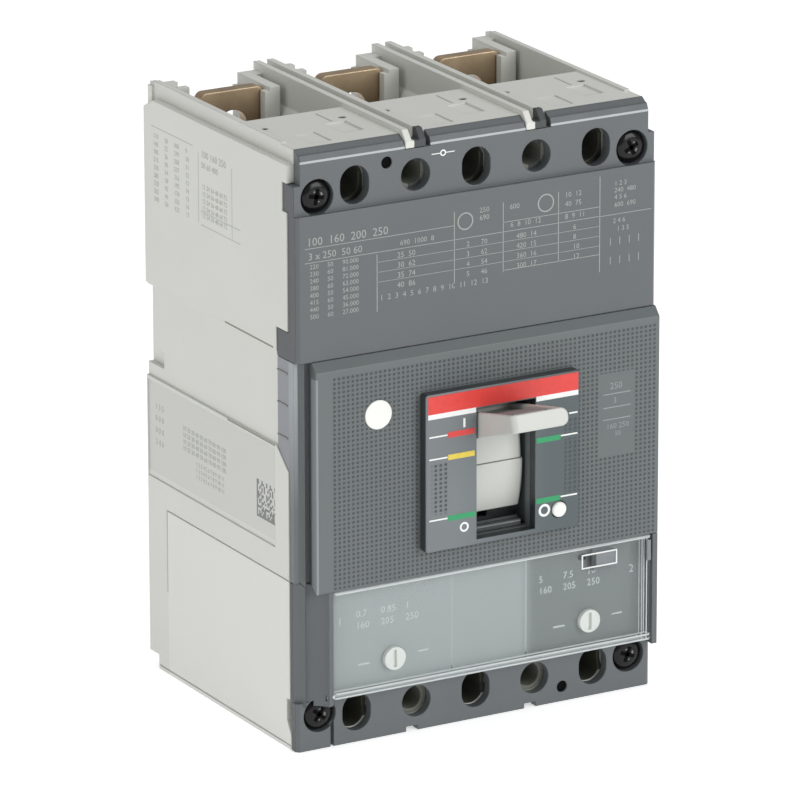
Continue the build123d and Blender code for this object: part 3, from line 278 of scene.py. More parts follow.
def dimples(tree, areas, front, pitches, inner, outer):
    """1 inside a grid of small cells, within (x0, x1, z0, z1) areas of a front plane."""
    def cell(axis, pitch):
        part = tree.math("FRACT", tree.math("DIVIDE", axis, pitch * MM))
        away = tree.math("ABSOLUTE", tree.math("SUBTRACT", part, 0.5))
        return tree.ramp(away, inner, outer, 1.0, 0.0)
    grid = tree.product(cell(tree.x, pitches[0]), cell(tree.z, pitches[1]))
    fields = [tree.product(tree.within(tree.x, x0, x1), tree.within(tree.z, z0, z1))
              for x0, x1, z0, z1 in areas]
    return tree.product(grid, tree.largest(*fields), tree.below(tree.y, -front + 0.1))


# ---------------------------------------------------------------- housing finish
def housing_finish():
    """Light grey moulding, with painted shade in its deep holes, and a slightly darker sunk label field."""
    tree = plastic("body_light_grey", srgb(214, 215, 209), rough=0.52, grain=0.14, edge=0.45, cloud=0.012)
    height = tree.math("ABSOLUTE", tree.z)
    across = tree.from_nearest(tree.x, BARRIERS[0], POLE_PITCH)
    inside = tree.within(tree.x, -40.0, 40.0)
    # Painted shade: the terminal access tunnels are painted darker, as shade falls in them.
    tunnel = tree.product(
        tree.below(tree.from_nearest(tree.x, 0.0, POLE_PITCH), 5.3), inside,
        tree.within(height, ACCESS_HEIGHT - 6.0, ACCESS_HEIGHT + 6.0), tree.within(tree.y, -RIM + 0.2, -44.0))
    tree.paint(tunnel, srgb(84, 84, 76))
    # Painted shade: the fixing holes are painted darker too.
    along = tree.math("SUBTRACT", height, FIXING_HEIGHT * MM)
    radius = tree.math("SQRT", tree.math("ADD", tree.product(across, across), tree.product(along, along)))
    tree.paint(tree.product(tree.below(radius, 4.3), inside, tree.above(tree.y, -STRIP + 0.4)),
               srgb(128, 129, 120))
    # The right half of each barrier's front end is dark, as it lies in the shade of the cover.
    right_half = tree.largest(*[tree.within(tree.x, x - 0.4, x + 3.2) for x in BARRIERS])
    tree.paint(tree.product(right_half, tree.below(tree.y, -RIM + 0.3), tree.above(tree.z, 60.0)),
               srgb(66, 70, 72))
    # Dimples of the roof, the sunk label field, and the paler flank below the snap joint.
    dimple = tree.largest(*[tree.below(tree.from_nearest(tree.x, x, POLE_PITCH), 1.2) for x in (-12.6, 9.8)])
    roof = tree.product(dimple, tree.within(tree.z, 75.0, 79.75), tree.within(tree.y, -56.4, -54.0))
    tree.paint(roof, srgb(134, 132, 120))
    outside = tree.above(tree.math("ABSOLUTE", tree.x), SIDE - 0.5)
    field = tree.product(outside, tree.within(tree.z, -24.0, 0.6), tree.above(tree.y, -68.6))
    tree.paint(field, srgb(205, 206, 201))
    tree.paint(tree.product(outside, tree.below(tree.z, -32.7), tree.below(tree.y, -10.5)),
               srgb(221, 221, 217))
    # Where the case's two nodes meet, the edges aren't rounded, so that no seam shows.
    parting = tree.within(height, base_high.z - 0.8, base_high.z + 0.8)
    flat = tree.nodes.new("ShaderNodeNewGeometry")
    blend = tree.nodes.new("ShaderNodeMix")
    blend.data_type = "VECTOR"
    socket = tree.surface.inputs["Normal"]
    tree.links.new(parting, blend.inputs[0])
    tree.links.new(socket.links[0].from_socket, blend.inputs[4])
    tree.links.new(flat.outputs["Normal"], blend.inputs[5])
    tree.links.new(blend.outputs[1], socket)
    return tree


def cover_finish():
    """Dark grey moulding with a painted highlight along the edge of the upper terminal strip, and painted shade on
    the bevel above it and on the left side.
    """
    tree = plastic("cover_dark_grey", srgb(94, 99, 101), rough=0.40, grain=0.10, edge=0.4, cloud=0.03)
    # Painted highlight: a bright line along the upper edge of the terminal strip.
    line = tree.product(tree.within(tree.z, BEVEL_EDGE - 0.45, BEVEL_EDGE + 0.12),
                        tree.below(tree.y, -STRIP + 0.2))
    tree.paint(line, srgb(176, 181, 184))
    # Painted shade: the bevel above that edge is painted darker.
    bevel = tree.product(tree.above(tree.z, BEVEL_EDGE + 0.12), tree.below(tree.y, -STRIP + 1.1))
    tree.paint(bevel, srgb(80, 86, 90))
    # Painted shade: the left side is painted darker than the front.
    tree.paint(tree.below(tree.x, -SIDE + 0.25), srgb(74, 78, 80))
    return tree


def fascia_finish():
    """Dark grey moulding whose raised panel is covered with small square dimples."""
    tree = plastic("fascia_dimpled", srgb(100, 106, 107), rough=0.38, grain=0.05, edge=0.4, cloud=0.02)
    left, right = -43.5, 51.2
    low, high = -34.5, 21.6
    label = (34.5, 45.0, -12.0, 10.2)
    areas = [(left, bezel_low.x - 0.4, low, high), (bezel_high.x + 0.2, label[0], low, high),
             (bezel_low.x - 0.4, bezel_high.x + 0.2, bezel_high.z + 0.3, high),
             (bezel_low.x - 0.4, bezel_high.x + 0.2, low, bezel_low.z - 0.3),
             (label[0], label[1], low, label[2]), (label[0], label[1], label[3], high),
             (label[1], right, low, high)]
    cells = dimples(tree, areas, FASCIA, (1.32, 1.2), 0.20, 0.32)
    tree.paint(cells, srgb(70, 75, 77))
    tree.press(cells, 0.3)
    # Painted highlights on the upright edges: the bead at the left and the panel's left border.
    skirt = tree.below(tree.x, -SIDE + 0.6)
    fade = tree.ramp(tree.z, -14.0 * MM, 16.0 * MM)
    bead = tree.product(tree.within(tree.x, -SIDE + 0.1, -SIDE + 1.3), tree.below(tree.y, -75.9), fade)
    border = tree.product(tree.within(tree.x, -48.4, -47.6), tree.below(tree.y, -80.0),
                          tree.below(tree.z, 21.5))
    tree.paint(tree.product(skirt, tree.above(tree.y, -75.9)), srgb(136, 138, 144))
    tree.paint(bead, srgb(152, 158, 161))
    tree.paint(border, srgb(138, 144, 146))
    return tree


def bezel_finish():
    """Bezel with two columns of small round dimples on its face; its flanks carry painted shade, and its face a
    painted reflection.
    """
    tree = plastic("bezel_dark_grey", srgb(114, 120, 123), rough=0.36, grain=0.05, edge=0.3, cloud=0.02)
    # Painted reflection: the face is painted darker towards the right, so that its left part reads as lit.
    tree.paint(tree.ramp(tree.x, -10.0 * MM, 18.0 * MM), srgb(80, 90, 93))
    # Painted shade: the flanks and the slot walls behind the face are painted dark.
    tree.paint(tree.above(tree.y, -BEZEL + 0.2), srgb(50, 54, 56))
    fields = [(-16.5, -12.0, -18.4, -4.6), (22.5, 27.0, -18.6, -4.4), (22.5, 27.0, -3.2, 1.4)]
    cells = dimples(tree, fields, BEZEL, (1.46, 1.2), 0.18, 0.34)
    tree.paint(cells, srgb(70, 76, 79))
    tree.press(cells, 0.3)
    return tree


def clear_finish():
    """Clear cover: lets most light through, with painted highlights along its edges."""
    tree = Tree("clear_polycarbonate")
    tree.surface.inputs["Base Color"].default_value = (*srgb(226, 231, 231), 1.0)
    tree.surface.inputs["Specular IOR Level"].default_value = 0.6
    tree.links.new(tree.ramp(tree.noise(60.0), 0.3, 0.7, 0.28, 0.34), tree.surface.inputs["Roughness"])
    through = tree.nodes.new("ShaderNodeBsdfTransparent")
    through.inputs["Color"].default_value = (0.95, 0.96, 0.96, 1.0)
    # Painted highlights: bright, less clear lines along the cover's edges.
    edges = tree.largest(
        tree.above(tree.z, clear_high.z - 0.55),
        tree.below(tree.z, clear_low.z + 0.55),
        tree.within(tree.z, clear_low.z + 1.35, clear_low.z + 1.8),
        tree.within(tree.x, 49.0, 49.3),
        tree.within(tree.x, 47.6, 47.8),
        tree.below(tree.x, clear_low.x + 1.9))
    blend = tree.nodes.new("ShaderNodeMixShader")
    tree.links.new(tree.ramp(edges, 0.0, 1.0, 0.05, 0.7), blend.inputs[0])
    tree.links.new(through.outputs[0], blend.inputs[1])
    tree.links.new(tree.surface.outputs[0], blend.inputs[2])
    tree.links.new(blend.outputs[0], tree.output.inputs["Surface"])
    return tree


def trip_finish():
    """Trip unit face: painted paler at the left and in the middle and darker at the right, as a painted
    reflection.
    """
    tree = plastic("trip_unit_grey", srgb(165, 170, 170), rough=0.55, grain=0.0, edge=0.1, cloud=0.01)
    # Painted reflection: the right field is painted darker than the rest.
    step = tree.ramp(tree.x, 13.0 * MM, 17.0 * MM)
    tree.paint(step, srgb(120, 125, 125))
    return tree


def bronze_finish():
    """Terminal bars with uneven tarnish, brighter at the top, with painted shade darkening them towards the
    pocket.
    """
    tree = metal("terminal_bronze", (0.60, 0.46, 0.31), rough=0.40, brush=(1.0, 1.0, 10.0), grain=0.12,
                 edge=0.4)
    # Painted shade: the bars are painted darker towards the pocket floor.
    deep = tree.ramp(tree.math("ABSOLUTE", tree.z), 79.0 * MM, 66.0 * MM)
    tree.paint(deep, (0.17, 0.10, 0.06))
    return tree


body = housing_finish()
cover = cover_finish()
fascia = fascia_finish()
bezel = bezel_finish()
clear = clear_finish()
trip = trip_finish()
bronze = bronze_finish()
shield = plastic("shield_grey", srgb(74, 79, 80), rough=0.5, grain=0.05, edge=0.2)
white = plastic("white_plastic", srgb(236, 237, 232), rough=0.3, grain=0.02, edge=0.3, cloud=0.01)
handle = plastic("handle_off_white", srgb(200, 202, 197), rough=0.36, grain=0.04, edge=0.3, cloud=0.01)
rib_grey = plastic("grip_grey", srgb(138, 130, 130), rough=0.5, grain=0.04, edge=0.2)
seal = plastic("seal_grey", srgb(124, 130, 132), rough=0.3, grain=0.02, edge=0.2)
dark = plastic("moulding_black", srgb(44, 46, 48), rough=0.45, grain=0.06, edge=0.3)
fibre = plastic("fibre_board", srgb(176, 120, 84), rough=0.7, grain=0.2, edge=0.2, cloud=0.08)
screw = plastic("screw_black", srgb(14, 14, 15), rough=0.2, grain=0.0, edge=0.25, cloud=0.05, specular=0.3)
# Painted shade: near-black and matte, for the screws' cross recesses and the probe holes.
cross = plastic("painted_recess_shade", srgb(8, 8, 8), rough=0.5, grain=0.0, specular=0.05)
# Painted glints: pale specks laid on the edge of each screw head.
rim = plastic("screw_painted_glint", srgb(112, 114, 113), rough=0.25, grain=0.0)
steel = metal("zinc_steel", (0.62, 0.62, 0.60), rough=0.36, brush=(1.0, 1.0, 8.0))
wire = metal("spring_wire", (0.46, 0.46, 0.47), rough=0.3)
copper = metal("copper", (0.82, 0.42, 0.27), rough=0.36)
bimetal = metal("bimetal_strip", (0.60, 0.57, 0.50), rough=0.34, brush=(1.0, 1.0, 8.0))
silver = metal("silver_contact", (0.88, 0.87, 0.84), rough=0.3)
arc_steel = metal("splitter_steel", (0.56, 0.50, 0.46), rough=0.4)

red = ink("print_red", srgb(222, 66, 60))
green = ink("print_green", srgb(44, 152, 98))
yellow = ink("print_yellow", srgb(228, 203, 74))
ink_white = ink("print_white", srgb(236, 238, 236))
ink_cover = ink("print_on_cover", srgb(158, 161, 157))
ink_trip = ink("print_on_trip_unit", srgb(206, 211, 210))
ink_fascia = ink("print_on_fascia", srgb(142, 148, 149))
ink_division = ink("print_division", srgb(174, 179, 179))
ink_body = ink("print_on_body", srgb(164, 166, 161))
ink_seam = ink("print_seam", srgb(134, 133, 126))
ink_code = ink("print_code", srgb(122, 124, 120))

slot_materials = {
    "housing_grey": body, "cover_grey": cover, "fascia_grey": fascia, "bezel_grey": bezel,
    "shield_grey": shield, "trip_grey": trip, "screw_black": screw, "white_plastic": white, "clear": clear,
    "seal_plastic": seal, "handle_white": handle, "steel": steel, "spring_steel": wire,
    "bar_bronze": bronze, "copper": copper, "bimetal": bimetal, "silver_contact": silver,
    "armature_steel": steel, "arc_steel": arc_steel, "fibre_board": fibre, "moulding_dark": dark,
}
for part in frame["record"]["subparts"]:
    node = frame["nodes"][part["node"]]
    node.data.materials.clear()
    node.data.materials.append(slot_materials[part["material_slot"]].material)


# ---------------------------------------------------------------- shape helpers
def piece(name, bm, tree, rides="housing", smooth=False):
    """Turns a bmesh into a finished piece that rides on a body."""
    bmesh.ops.remove_doubles(bm, verts=bm.verts, dist=1e-7)
    bmesh.ops.recalc_face_normals(bm, faces=bm.faces)
    mesh = bpy.data.meshes.new(name)
    bm.to_mesh(mesh)
    bm.free()
    mesh.materials.append(tree.material)
    for face in mesh.polygons:
        face.use_smooth = smooth
    made = bpy.data.objects.new(name, mesh)
    bpy.context.scene.collection.objects.link(made)
    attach(made, rides)
    return made


def add_block(bm, x, y, z, rounding=0.0, turn=None):
    """Box between low and high bounds in millimetres, with rounded edges if asked."""
    sizes = [(high - low) * MM for low, high in (x, y, z)]
    centre = Vector([(low + high) / 2 * MM for low, high in (x, y, z)])
    matrix = Matrix.Translation(centre) @ Matrix.Diagonal((*sizes, 1.0))
    if turn is not None:
        matrix = turn @ matrix
    made = bmesh.ops.create_cube(bm, size=1.0, matrix=matrix)
    if rounding:
        edges = list({edge for vert in made["verts"] for edge in vert.link_edges})
        bmesh.ops.bevel(bm, geom=edges, offset=rounding * MM, segments=2, profile=0.5, affect="EDGES",
                        material=-1)


def add_turned(bm, profile, x, z, steps=40, closed=True):
    """Profile of (radius, depth) points turned about an axis along Y through (x, z)."""
    verts = [bm.verts.new(((x + radius) * MM, -depth * MM, z * MM)) for radius, depth in profile]
    pairs = list(zip(verts, verts[1:]))
    if closed:
        pairs.append((verts[-1], verts[0]))
    edges = [bm.edges.new(pair) for pair in pairs]
    bmesh.ops.spin(bm, geom=edges, cent=(x * MM, 0, z * MM), axis=(0, 1, 0), angle=2 * pi, steps=steps,
                   use_merge=True)


def add_ring(bm, x, z, outer, inner, face, thick=0.04):
    """Flat printed ring on a front face."""
    add_turned(bm, [(inner, face), (outer, face), (outer, face + thick), (inner, face + thick)], x, z)


def print_marks(name, rects, tree, face, rides="housing", thick=0.04):
    """Printed rectangles (x0, x1, z0, z1) on a front face at one depth."""
    bm = bmesh.new()
    for x0, x1, z0, z1 in rects:
        add_block(bm, (x0, x1), (-face - thick, -face + 0.01), (z0, z1))
    return piece(name, bm, tree, rides)


FRONT_PRINT = Matrix(((1, 0, 0), (0, 0, -1), (0, 1, 0))).to_4x4()
LEFT_PRINT = Matrix(((0, 0, -1), (-1, 0, 0), (0, 1, 0))).to_4x4()


def print_numbers(name, rows, tree, facing, face, thick=0.03):
    """Rows of plain numbers (across, z, height, text), printed on the front or on the left side."""
    bm = bmesh.new()
    for across, height, size, text in rows:
        curve = bpy.data.curves.new(name, "FONT")
        curve.body = text
        curve.size = size * 1.38 * MM
        curve.extrude = thick / 2 * MM
        curve.resolution_u = 2
        letters = bpy.data.objects.new(name + "_row", curve)
        bpy.context.scene.collection.objects.link(letters)
        mesh = bpy.data.meshes.new_from_object(letters.evaluated_get(bpy.context.evaluated_depsgraph_get()))
        bpy.data.objects.remove(letters)
        bpy.data.curves.remove(curve)
        if facing == "front":
            at = Vector((across, -face - thick / 2, height)) * MM
            mesh.transform(Matrix.Translation(at) @ FRONT_PRINT)
        else:
            at = Vector((-face - thick / 2, -across, height)) * MM
            mesh.transform(Matrix.Translation(at) @ LEFT_PRINT)
        bm.from_mesh(mesh)
        bpy.data.meshes.remove(mesh)
    return piece(name, bm, tree)


# ---------------------------------------------------------------- prints on the bezel
def bezel_prints():
    edge = bezel_low.x + 0.7
    right_edge = bezel_high.x - 0.5
    print_marks("bezel_red_band", [(edge, right_edge, 8.3, 13.0)], red, BEZEL)
    print_marks("bezel_white_marks", [
        (edge, -3.6, 7.0, 8.3), (14.1, right_edge, 7.0, 8.3),
        (-17.2, -11.9, 2.1, 2.5), (-17.2, -11.9, -3.8, -3.4), (-17.2, -11.9, -20.0, -19.6),
        (23.8, 26.3, 2.2, 2.6), (21.4, 26.3, -3.4, -3.0), (21.4, 26.3, -19.7, -19.3),
        (-7.3, -6.7, 3.6, 6.0)], ink_white, BEZEL)
    print_marks("bezel_red_mark", [(-11.7, -4.0, 1.5, 3.0)], red, BEZEL)
    print_marks("bezel_yellow_mark", [(-11.7, -4.0, -4.4, -3.0)], yellow, BEZEL)
    print_marks("bezel_green_marks", [(-11.8, -3.7, -20.6, -19.2), (14.2, 21.3, -4.2, -2.8),
                                      (14.2, 21.3, -20.4, -19.0)], green, BEZEL)
    bm = bmesh.new()
    add_ring(bm, -7.0, -22.9, 1.3, 0.8, BEZEL)
    add_ring(bm, 16.6, -22.4, 1.7, 1.05, BEZEL)
    piece("bezel_ring_marks", bm, ink_white)


# ---------------------------------------------------------------- prints on the covers
def cover_prints():
    """Ruled table with plain numbers on the data field, and the small prints of the strip and the fascia."""
    thin = 0.16
    left, split, second, third, fourth, right = -50.0, -29.5, -7.2, 7.0, 23.2, 35.4
    rules = [(left, split, 55.2, 55.2 + thin), (split, second, 55.2, 55.2 + thin),
             (left, right, 51.5, 51.5 + thin), (third, right, 54.0, 54.0 + thin),
             (right, 50.8, 51.4, 51.4 + thin), (third, right, 41.4, 41.4 + thin)]
    rules += [(x, x + 0.22, low, high) for x, low, high in (
        (split, 36.1, 51.0), (second, 39.5, 58.9), (third, 41.0, 59.3), (fourth, 41.4, 59.8), (right, 36.8, 62.0))]
    rules += [(split, right, z, z + 0.12) for z in (48.9, 46.3, 43.7)]
    # Four contact symbols in the right field.
    rules += [(x, x + 0.2, low, high) for x in (38.6, 41.4, 44.2, 47.0)
              for low, high in ((43.4, 45.4), (38.4, 40.4))]
    print_marks("cover_rules", rules, ink_cover, DATA, thick=0.03)

    rows = [(-49.4, 55.9, 2.2, "100  160  200  250"), (-49.0, 52.3, 1.9, "3 x 250  50 60"),
            (-22.8, 52.4, 1.4, "690  1000  8"),
            (-28.6, 38.9, 1.5, "1  2  3  4  5  6  7  8  9  10  11  12  13")]
    voltages = (220, 230, 240, 380, 400, 415, 440, 500)
    for step, voltage in enumerate(voltages):
        z = 49.9 - 1.85 * step
        rows += [(-48.6, z, 1.25, str(voltage)), (-43.6, z, 1.25, str(50 + 10 * (step % 2))),
                 (-39.3, z, 1.25, f"{90 - 9 * step}.000")]
    for step in range(4):
        z = 49.3 - 2.6 * step
        rows += [(-23.6, z, 1.5, f"{25 + 5 * step}  {50 + 12 * step}"), (-3.6, z, 1.4, f"{2 + step}"),
                 (0.6, z, 1.4, f"{70 - 8 * step}"), (11.0, z, 1.4, f"{480 - 60 * step}  {14 + step}"),
                 (27.6, z, 1.4, f"{6 + 2 * step}")]
    rows += [(0.2, 57.6, 1.4, "250"), (0.2, 55.6, 1.4, "690"), (9.0, 57.2, 1.4, "600"),
             (25.2, 58.0, 1.4, "10  12"), (25.2, 55.6, 1.4, "40  75"), (9.2, 52.5, 1.4, "6  8  10  12"),
             (25.2, 52.3, 1.4, "8  9  11"),
             (39.8, 59.0, 1.3, "1 2 3"), (39.8, 57.2, 1.3, "240  480"), (39.8, 55.4, 1.3, "4 5 6"),
             (39.8, 53.4, 1.3, "600  690"), (39.4, 49.2, 1.3, "2 4 6"), (40.6, 47.0, 1.3, "1 3 5")]
    print_numbers("cover_numbers", rows, ink_cover, "front", DATA)
    bm = bmesh.new()
    add_ring(bm, -3.9, 56.0, 2.3, 1.95, DATA, thick=0.03)
    add_ring(bm, 19.6, 57.4, 2.4, 2.05, DATA, thick=0.03)
    piece("cover_ring_marks", bm, ink_cover)
    # Small mark between the holes of the terminal strip: a ring on a line.
    bm = bmesh.new()
    add_ring(bm, -9.6, 74.3, 0.85, 0.5, STRIP, thick=0.03)
    for x0, x1 in ((-12.9, -10.3), (-8.9, -6.3)):
        add_block(bm, (x0, x1), (-STRIP - 0.03, -STRIP + 0.01), (74.18, 74.42))
    piece("strip_mark", bm, ink_white)
    print_marks("fascia_rules", [(35.6, 43.8, z, z + 0.3) for z in (4.4, 0.8, -2.4)], ink_fascia,
                FASCIA, thick=0.03)
    rating = [(37.6, 5.8, 1.8, "250"), (38.6, 2.0, 1.6, "3"), (36.6, -4.8, 1.5, "160 250"),
              (39.2, -6.8, 1.3, "50")]
    print_numbers("fascia_numbers", rating, ink_fascia, "front", FASCIA)
    # Painted shade: dark discs deep in the two probe holes.
    bm = bmesh.new()
    for x, z in PROBE_HOLES:
        add_turned(bm, [(0.02, STRIP - 0.9), (1.5, STRIP - 0.9), (1.5, STRIP - 0.5), (0.02, STRIP - 0.5)], x, z)
    piece("probe_hole_painted_shade", bm, cross)


def trip_prints():
    """Scales beside the two dials, with plain numbers."""
    rows = []
    for x, z, steps in ((-35.2, -44.2, ("0.7", "0.85", "1")), (18.6, -44.2, ("5", "7.5", "10"))):
        for step, text in enumerate(steps):
            rows += [(x + 7.2 * step, z, 1.9, text), (x + 7.2 * step, z - 3.1, 1.9, str(160 + 45 * step))]
    rows += [(-40.6, -45.6, 2.2, "1"), (45.6, -45.8, 2.2, "2")]
    print_numbers("trip_unit_numbers", rows, ink_trip, "front", TRIP)
    ticks = []
    for dial in ("adjuster_dial_left", "adjuster_dial_right"):
        low, high = corners(dial)
        x, z = (low.x + high.x) / 2, (low.z + high.z) / 2
        ticks += [(x - 10.2, x - 6.8, z - 0.6, z - 0.1), (x + 7.4, x + 10.4, z + 0.1, z + 0.5)]
    print_marks("trip_unit_ticks", ticks, ink_trip, TRIP, thick=0.03)
    lines = [(x - 0.3, x + 0.3, trip_low.z + 1.5, trip_high.z - 1.5) for x in (-7.2, 14.7)]
    print_marks("trip_unit_divisions", lines, ink_division, TRIP, thick=0.03)


def side_prints():
    """Faint tables on the left side, and a field of small square cells."""
    lower_face = SIDE - 0.3
    rows = []
    for step in range(9):
        z = 66.6 - 2.1 * step
        rows += [(5.2, z, 1.3, f"{110 + 35 * step}"), (11.2, z, 1.3, f"{18 + 4 * step}"),
                 (16.4, z, 1.3, f"{300 - 21 * step}"), (22.6, z, 1.3, f"{9 + step}")]
    rows += [(31.0, 67.6, 1.9, "100 160 250"), (31.0, 64.8, 1.6, "50 60 400")]
    rows += [(31.4, 59.4 - 1.9 * step, 1.3, "12 24 36 48 60 72") for step in range(5)]
    print_numbers("side_numbers", rows, ink_body, "left", SIDE)
    label = [(19.0, -8.2 - 1.8 * step, 1.3, "10 20 30 40 50 60 70 80 90 100") for step in range(4)]
    label += [(26.0, -16.0 - 1.7 * step, 1.2, "1 2 3 4 5 6 7 8 9 10 11") for step in range(3)]
    label += [(4.0, -6.5 - 3.2 * step, 1.6, text)
              for step, text in enumerate(("1 3 5", "0 0 0", "0 0 0", "2 4 6"))]
    print_numbers("label_numbers", label, ink_body, "left", lower_face)
    bm = bmesh.new()
    cell = 0.62
    for column in range(16):
        for row in range(16):
            on_edge = column == 0 or row == 0
            if on_edge or (column * 37 + row * 57 + column * column * row + row // 3 * 5) % 7 < 3:
                y = -58.6 - cell * column
                z = -20.0 + cell * row
                add_block(bm, (-lower_face - 0.03, -lower_face + 0.01), (y - cell, y), (z, z + cell))
    piece("label_cells", bm, ink_code)
    bm = bmesh.new()
    for y0, y1, z in ((-30.6, -51.6, 53.2), (-30.8, -51.6, 49.6), (-4.0, -26.5, 69.4)):
        add_block(bm, (-SIDE - 0.03, -SIDE + 0.01), (y1, y0), (z, z + 0.16))
    for y in (-29.4, -47.2):
        add_block(bm, (-SIDE - 0.03, -SIDE + 0.01), (y - 0.16, y), (50.0, 68.5))
    piece("side_rules", bm, ink_body)
    # Shadow lines of the snap joints, on the left side.
    bm = bmesh.new()
    for y0, y1, z, thick in ((-43.0, -68.4, 27.2, 0.5), (-43.8, -69.0, 1.5, 0.45), (-70.2, -75.4, 22.0, 0.35),
                             (-70.2, -75.4, 13.6, 0.35), (-70.2, -75.4, 5.0, 0.35)):
        add_block(bm, (-SIDE - 0.02, -SIDE + 0.6), (y1, y0), (z - thick / 2, z + thick / 2))
    piece("side_seams", bm, ink_seam)


# ---------------------------------------------------------------- handle
def toggle_handle():
    """Blade with a scooped top, on a barrel in two steps, with the neck and hub that turn on the pin."""
    pivot = Vector((0.0, -39.0, -9.5))
    rest_angle = 15.6
    barrel_radius = 41.5
    barrel_wall = 2.4
    half_angle = 33.2
    reach = 66.0
    left, right = toggle_low.x, toggle_high.x

    # Local frame of the blade: X across, Y along its reach (forward), Z up from its top face.
    forward = Vector((0.0, -cos(radians(rest_angle)), sin(radians(rest_angle))))
    up = Vector((0.0, sin(radians(rest_angle)), cos(radians(rest_angle))))
    frame_turn = Matrix((Vector((1.0, 0.0, 0.0)), forward, up)).transposed().to_4x4()
    local = Matrix.Translation(pivot * MM) @ frame_turn

    bm = bmesh.new()
    root = barrel_radius - barrel_wall / 2
    root_half, tip_half = 3.8, 2.3
    made = bmesh.ops.create_cube(bm, size=1.0)
    for vert in made["verts"]:
        half = tip_half if vert.co.y > 0 else root_half
        vert.co = Vector((left + (vert.co.x + 0.5) * (right - left), root + (vert.co.y + 0.5) * (reach - root),
                          half if vert.co.z > 0 else -half)) * MM

    def runs_along(edge, axis, x):
        a, b = (vert.co for vert in edge.verts)
        return abs((b - a).normalized()[axis]) > 0.9 and abs((a.x + b.x) / 2 - x * MM) < 0.1 * MM

    # The long right edges and the tip's left corner are rounded. Then the top face is scooped out.
    long_edges = [edge for edge in bm.edges if runs_along(edge, 1, right)]
    bmesh.ops.bevel(bm, geom=long_edges, offset=2.0 * MM, segments=6, profile=0.5, affect="EDGES",
                    material=-1)
    corner = [edge for edge in bm.edges
              if runs_along(edge, 2, left) and edge.verts[0].co.y > (reach - 1.0) * MM]
    bmesh.ops.bevel(bm, geom=corner, offset=1.6 * MM, segments=6, profile=0.5, affect="EDGES", material=-1)
    bm.normal_update()
    top = max(bm.faces, key=lambda face: face.normal.z * face.calc_area())
    bmesh.ops.inset_region(bm, faces=[top], thickness=0.9 * MM, depth=0.0, use_even_offset=True)
    pressed = bmesh.ops.extrude_face_region(bm, geom=[top])
    floor_verts = [item for item in pressed["geom"] if isinstance(item, bmesh.types.BMVert)]
    bmesh.ops.translate(bm, verts=floor_verts, vec=(0.0, 0.0, -1.3 * MM))
    bmesh.ops.delete(bm, geom=[top], context="FACES_ONLY")
    outer = [edge for edge in bm.edges if edge.is_manifold and edge.calc_face_angle(0.0) > radians(50)]
    bmesh.ops.bevel(bm, geom=outer, offset=0.4 * MM, segments=3, profile=0.5, affect="EDGES", material=-1)
    bmesh.ops.transform(bm, matrix=local, verts=bm.verts)
    # Grip ribs in the scoop.
    ribs = bmesh.new()
    for step in range(6):
        y = root + 7.0 + 2.4 * step
        add_block(ribs, (left + 3.4, right - 3.2), (y, y + 1.3), (0.9, 2.3), rounding=0.3)
    bmesh.ops.transform(ribs, matrix=local, verts=ribs.verts)
    piece("toggle_ribs", ribs, rib_grey, rides="toggle")

    # Barrel in two steps with a fine gap between them, each a curved shell.
    def shell(start, end, radius, x0, x1):
        inner = barrel_radius - barrel_wall
        angle = radians(start)
        ray = Vector((0.0, -cos(angle), sin(angle)))
        made = [bm.verts.new((Vector((x, pivot.y, pivot.z)) + ray * r) * MM)
                for x, r in ((x0, inner), (x1, inner), (x1, radius - 0.9), (x1 - 0.3, radius - 0.3),
                             (x1 - 0.9, radius), (x0 + 0.3, radius), (x0, radius - 0.3))]
        face = bm.faces.new(made)
        bmesh.ops.spin(bm, geom=[face], cent=pivot * MM, axis=(-1, 0, 0), angle=radians(end - start), steps=26)

    low_angle = rest_angle - half_angle
    seam_angle = 0.8
    shell(low_angle, seam_angle - 0.15, barrel_radius, left, right)
    shell(seam_angle + 0.15, rest_angle + half_angle, barrel_radius - 0.25, left, right - 0.4)

    # Neck and hub.
    neck = (3.2, 5.4)
    add_block(bm, neck, (0.0, root - 1.4), (-3.0, 3.0), turn=local)
    hub = [(neck[0], 1.55), (neck[1], 1.55), (neck[1], 4.0), (neck[0], 4.0)]
    ring = [bm.verts.new(Vector((x, pivot.y - radius, pivot.z)) * MM) for x, radius in hub]
    edges = [bm.edges.new(pair) for pair in zip(ring, ring[1:] + ring[:1])]
    bmesh.ops.spin(bm, geom=edges, cent=pivot * MM, axis=(1, 0, 0), angle=2 * pi, steps=28,
                   use_merge=True)
    made = piece("toggle_handle", bm, handle, rides="toggle")
    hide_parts("toggle")


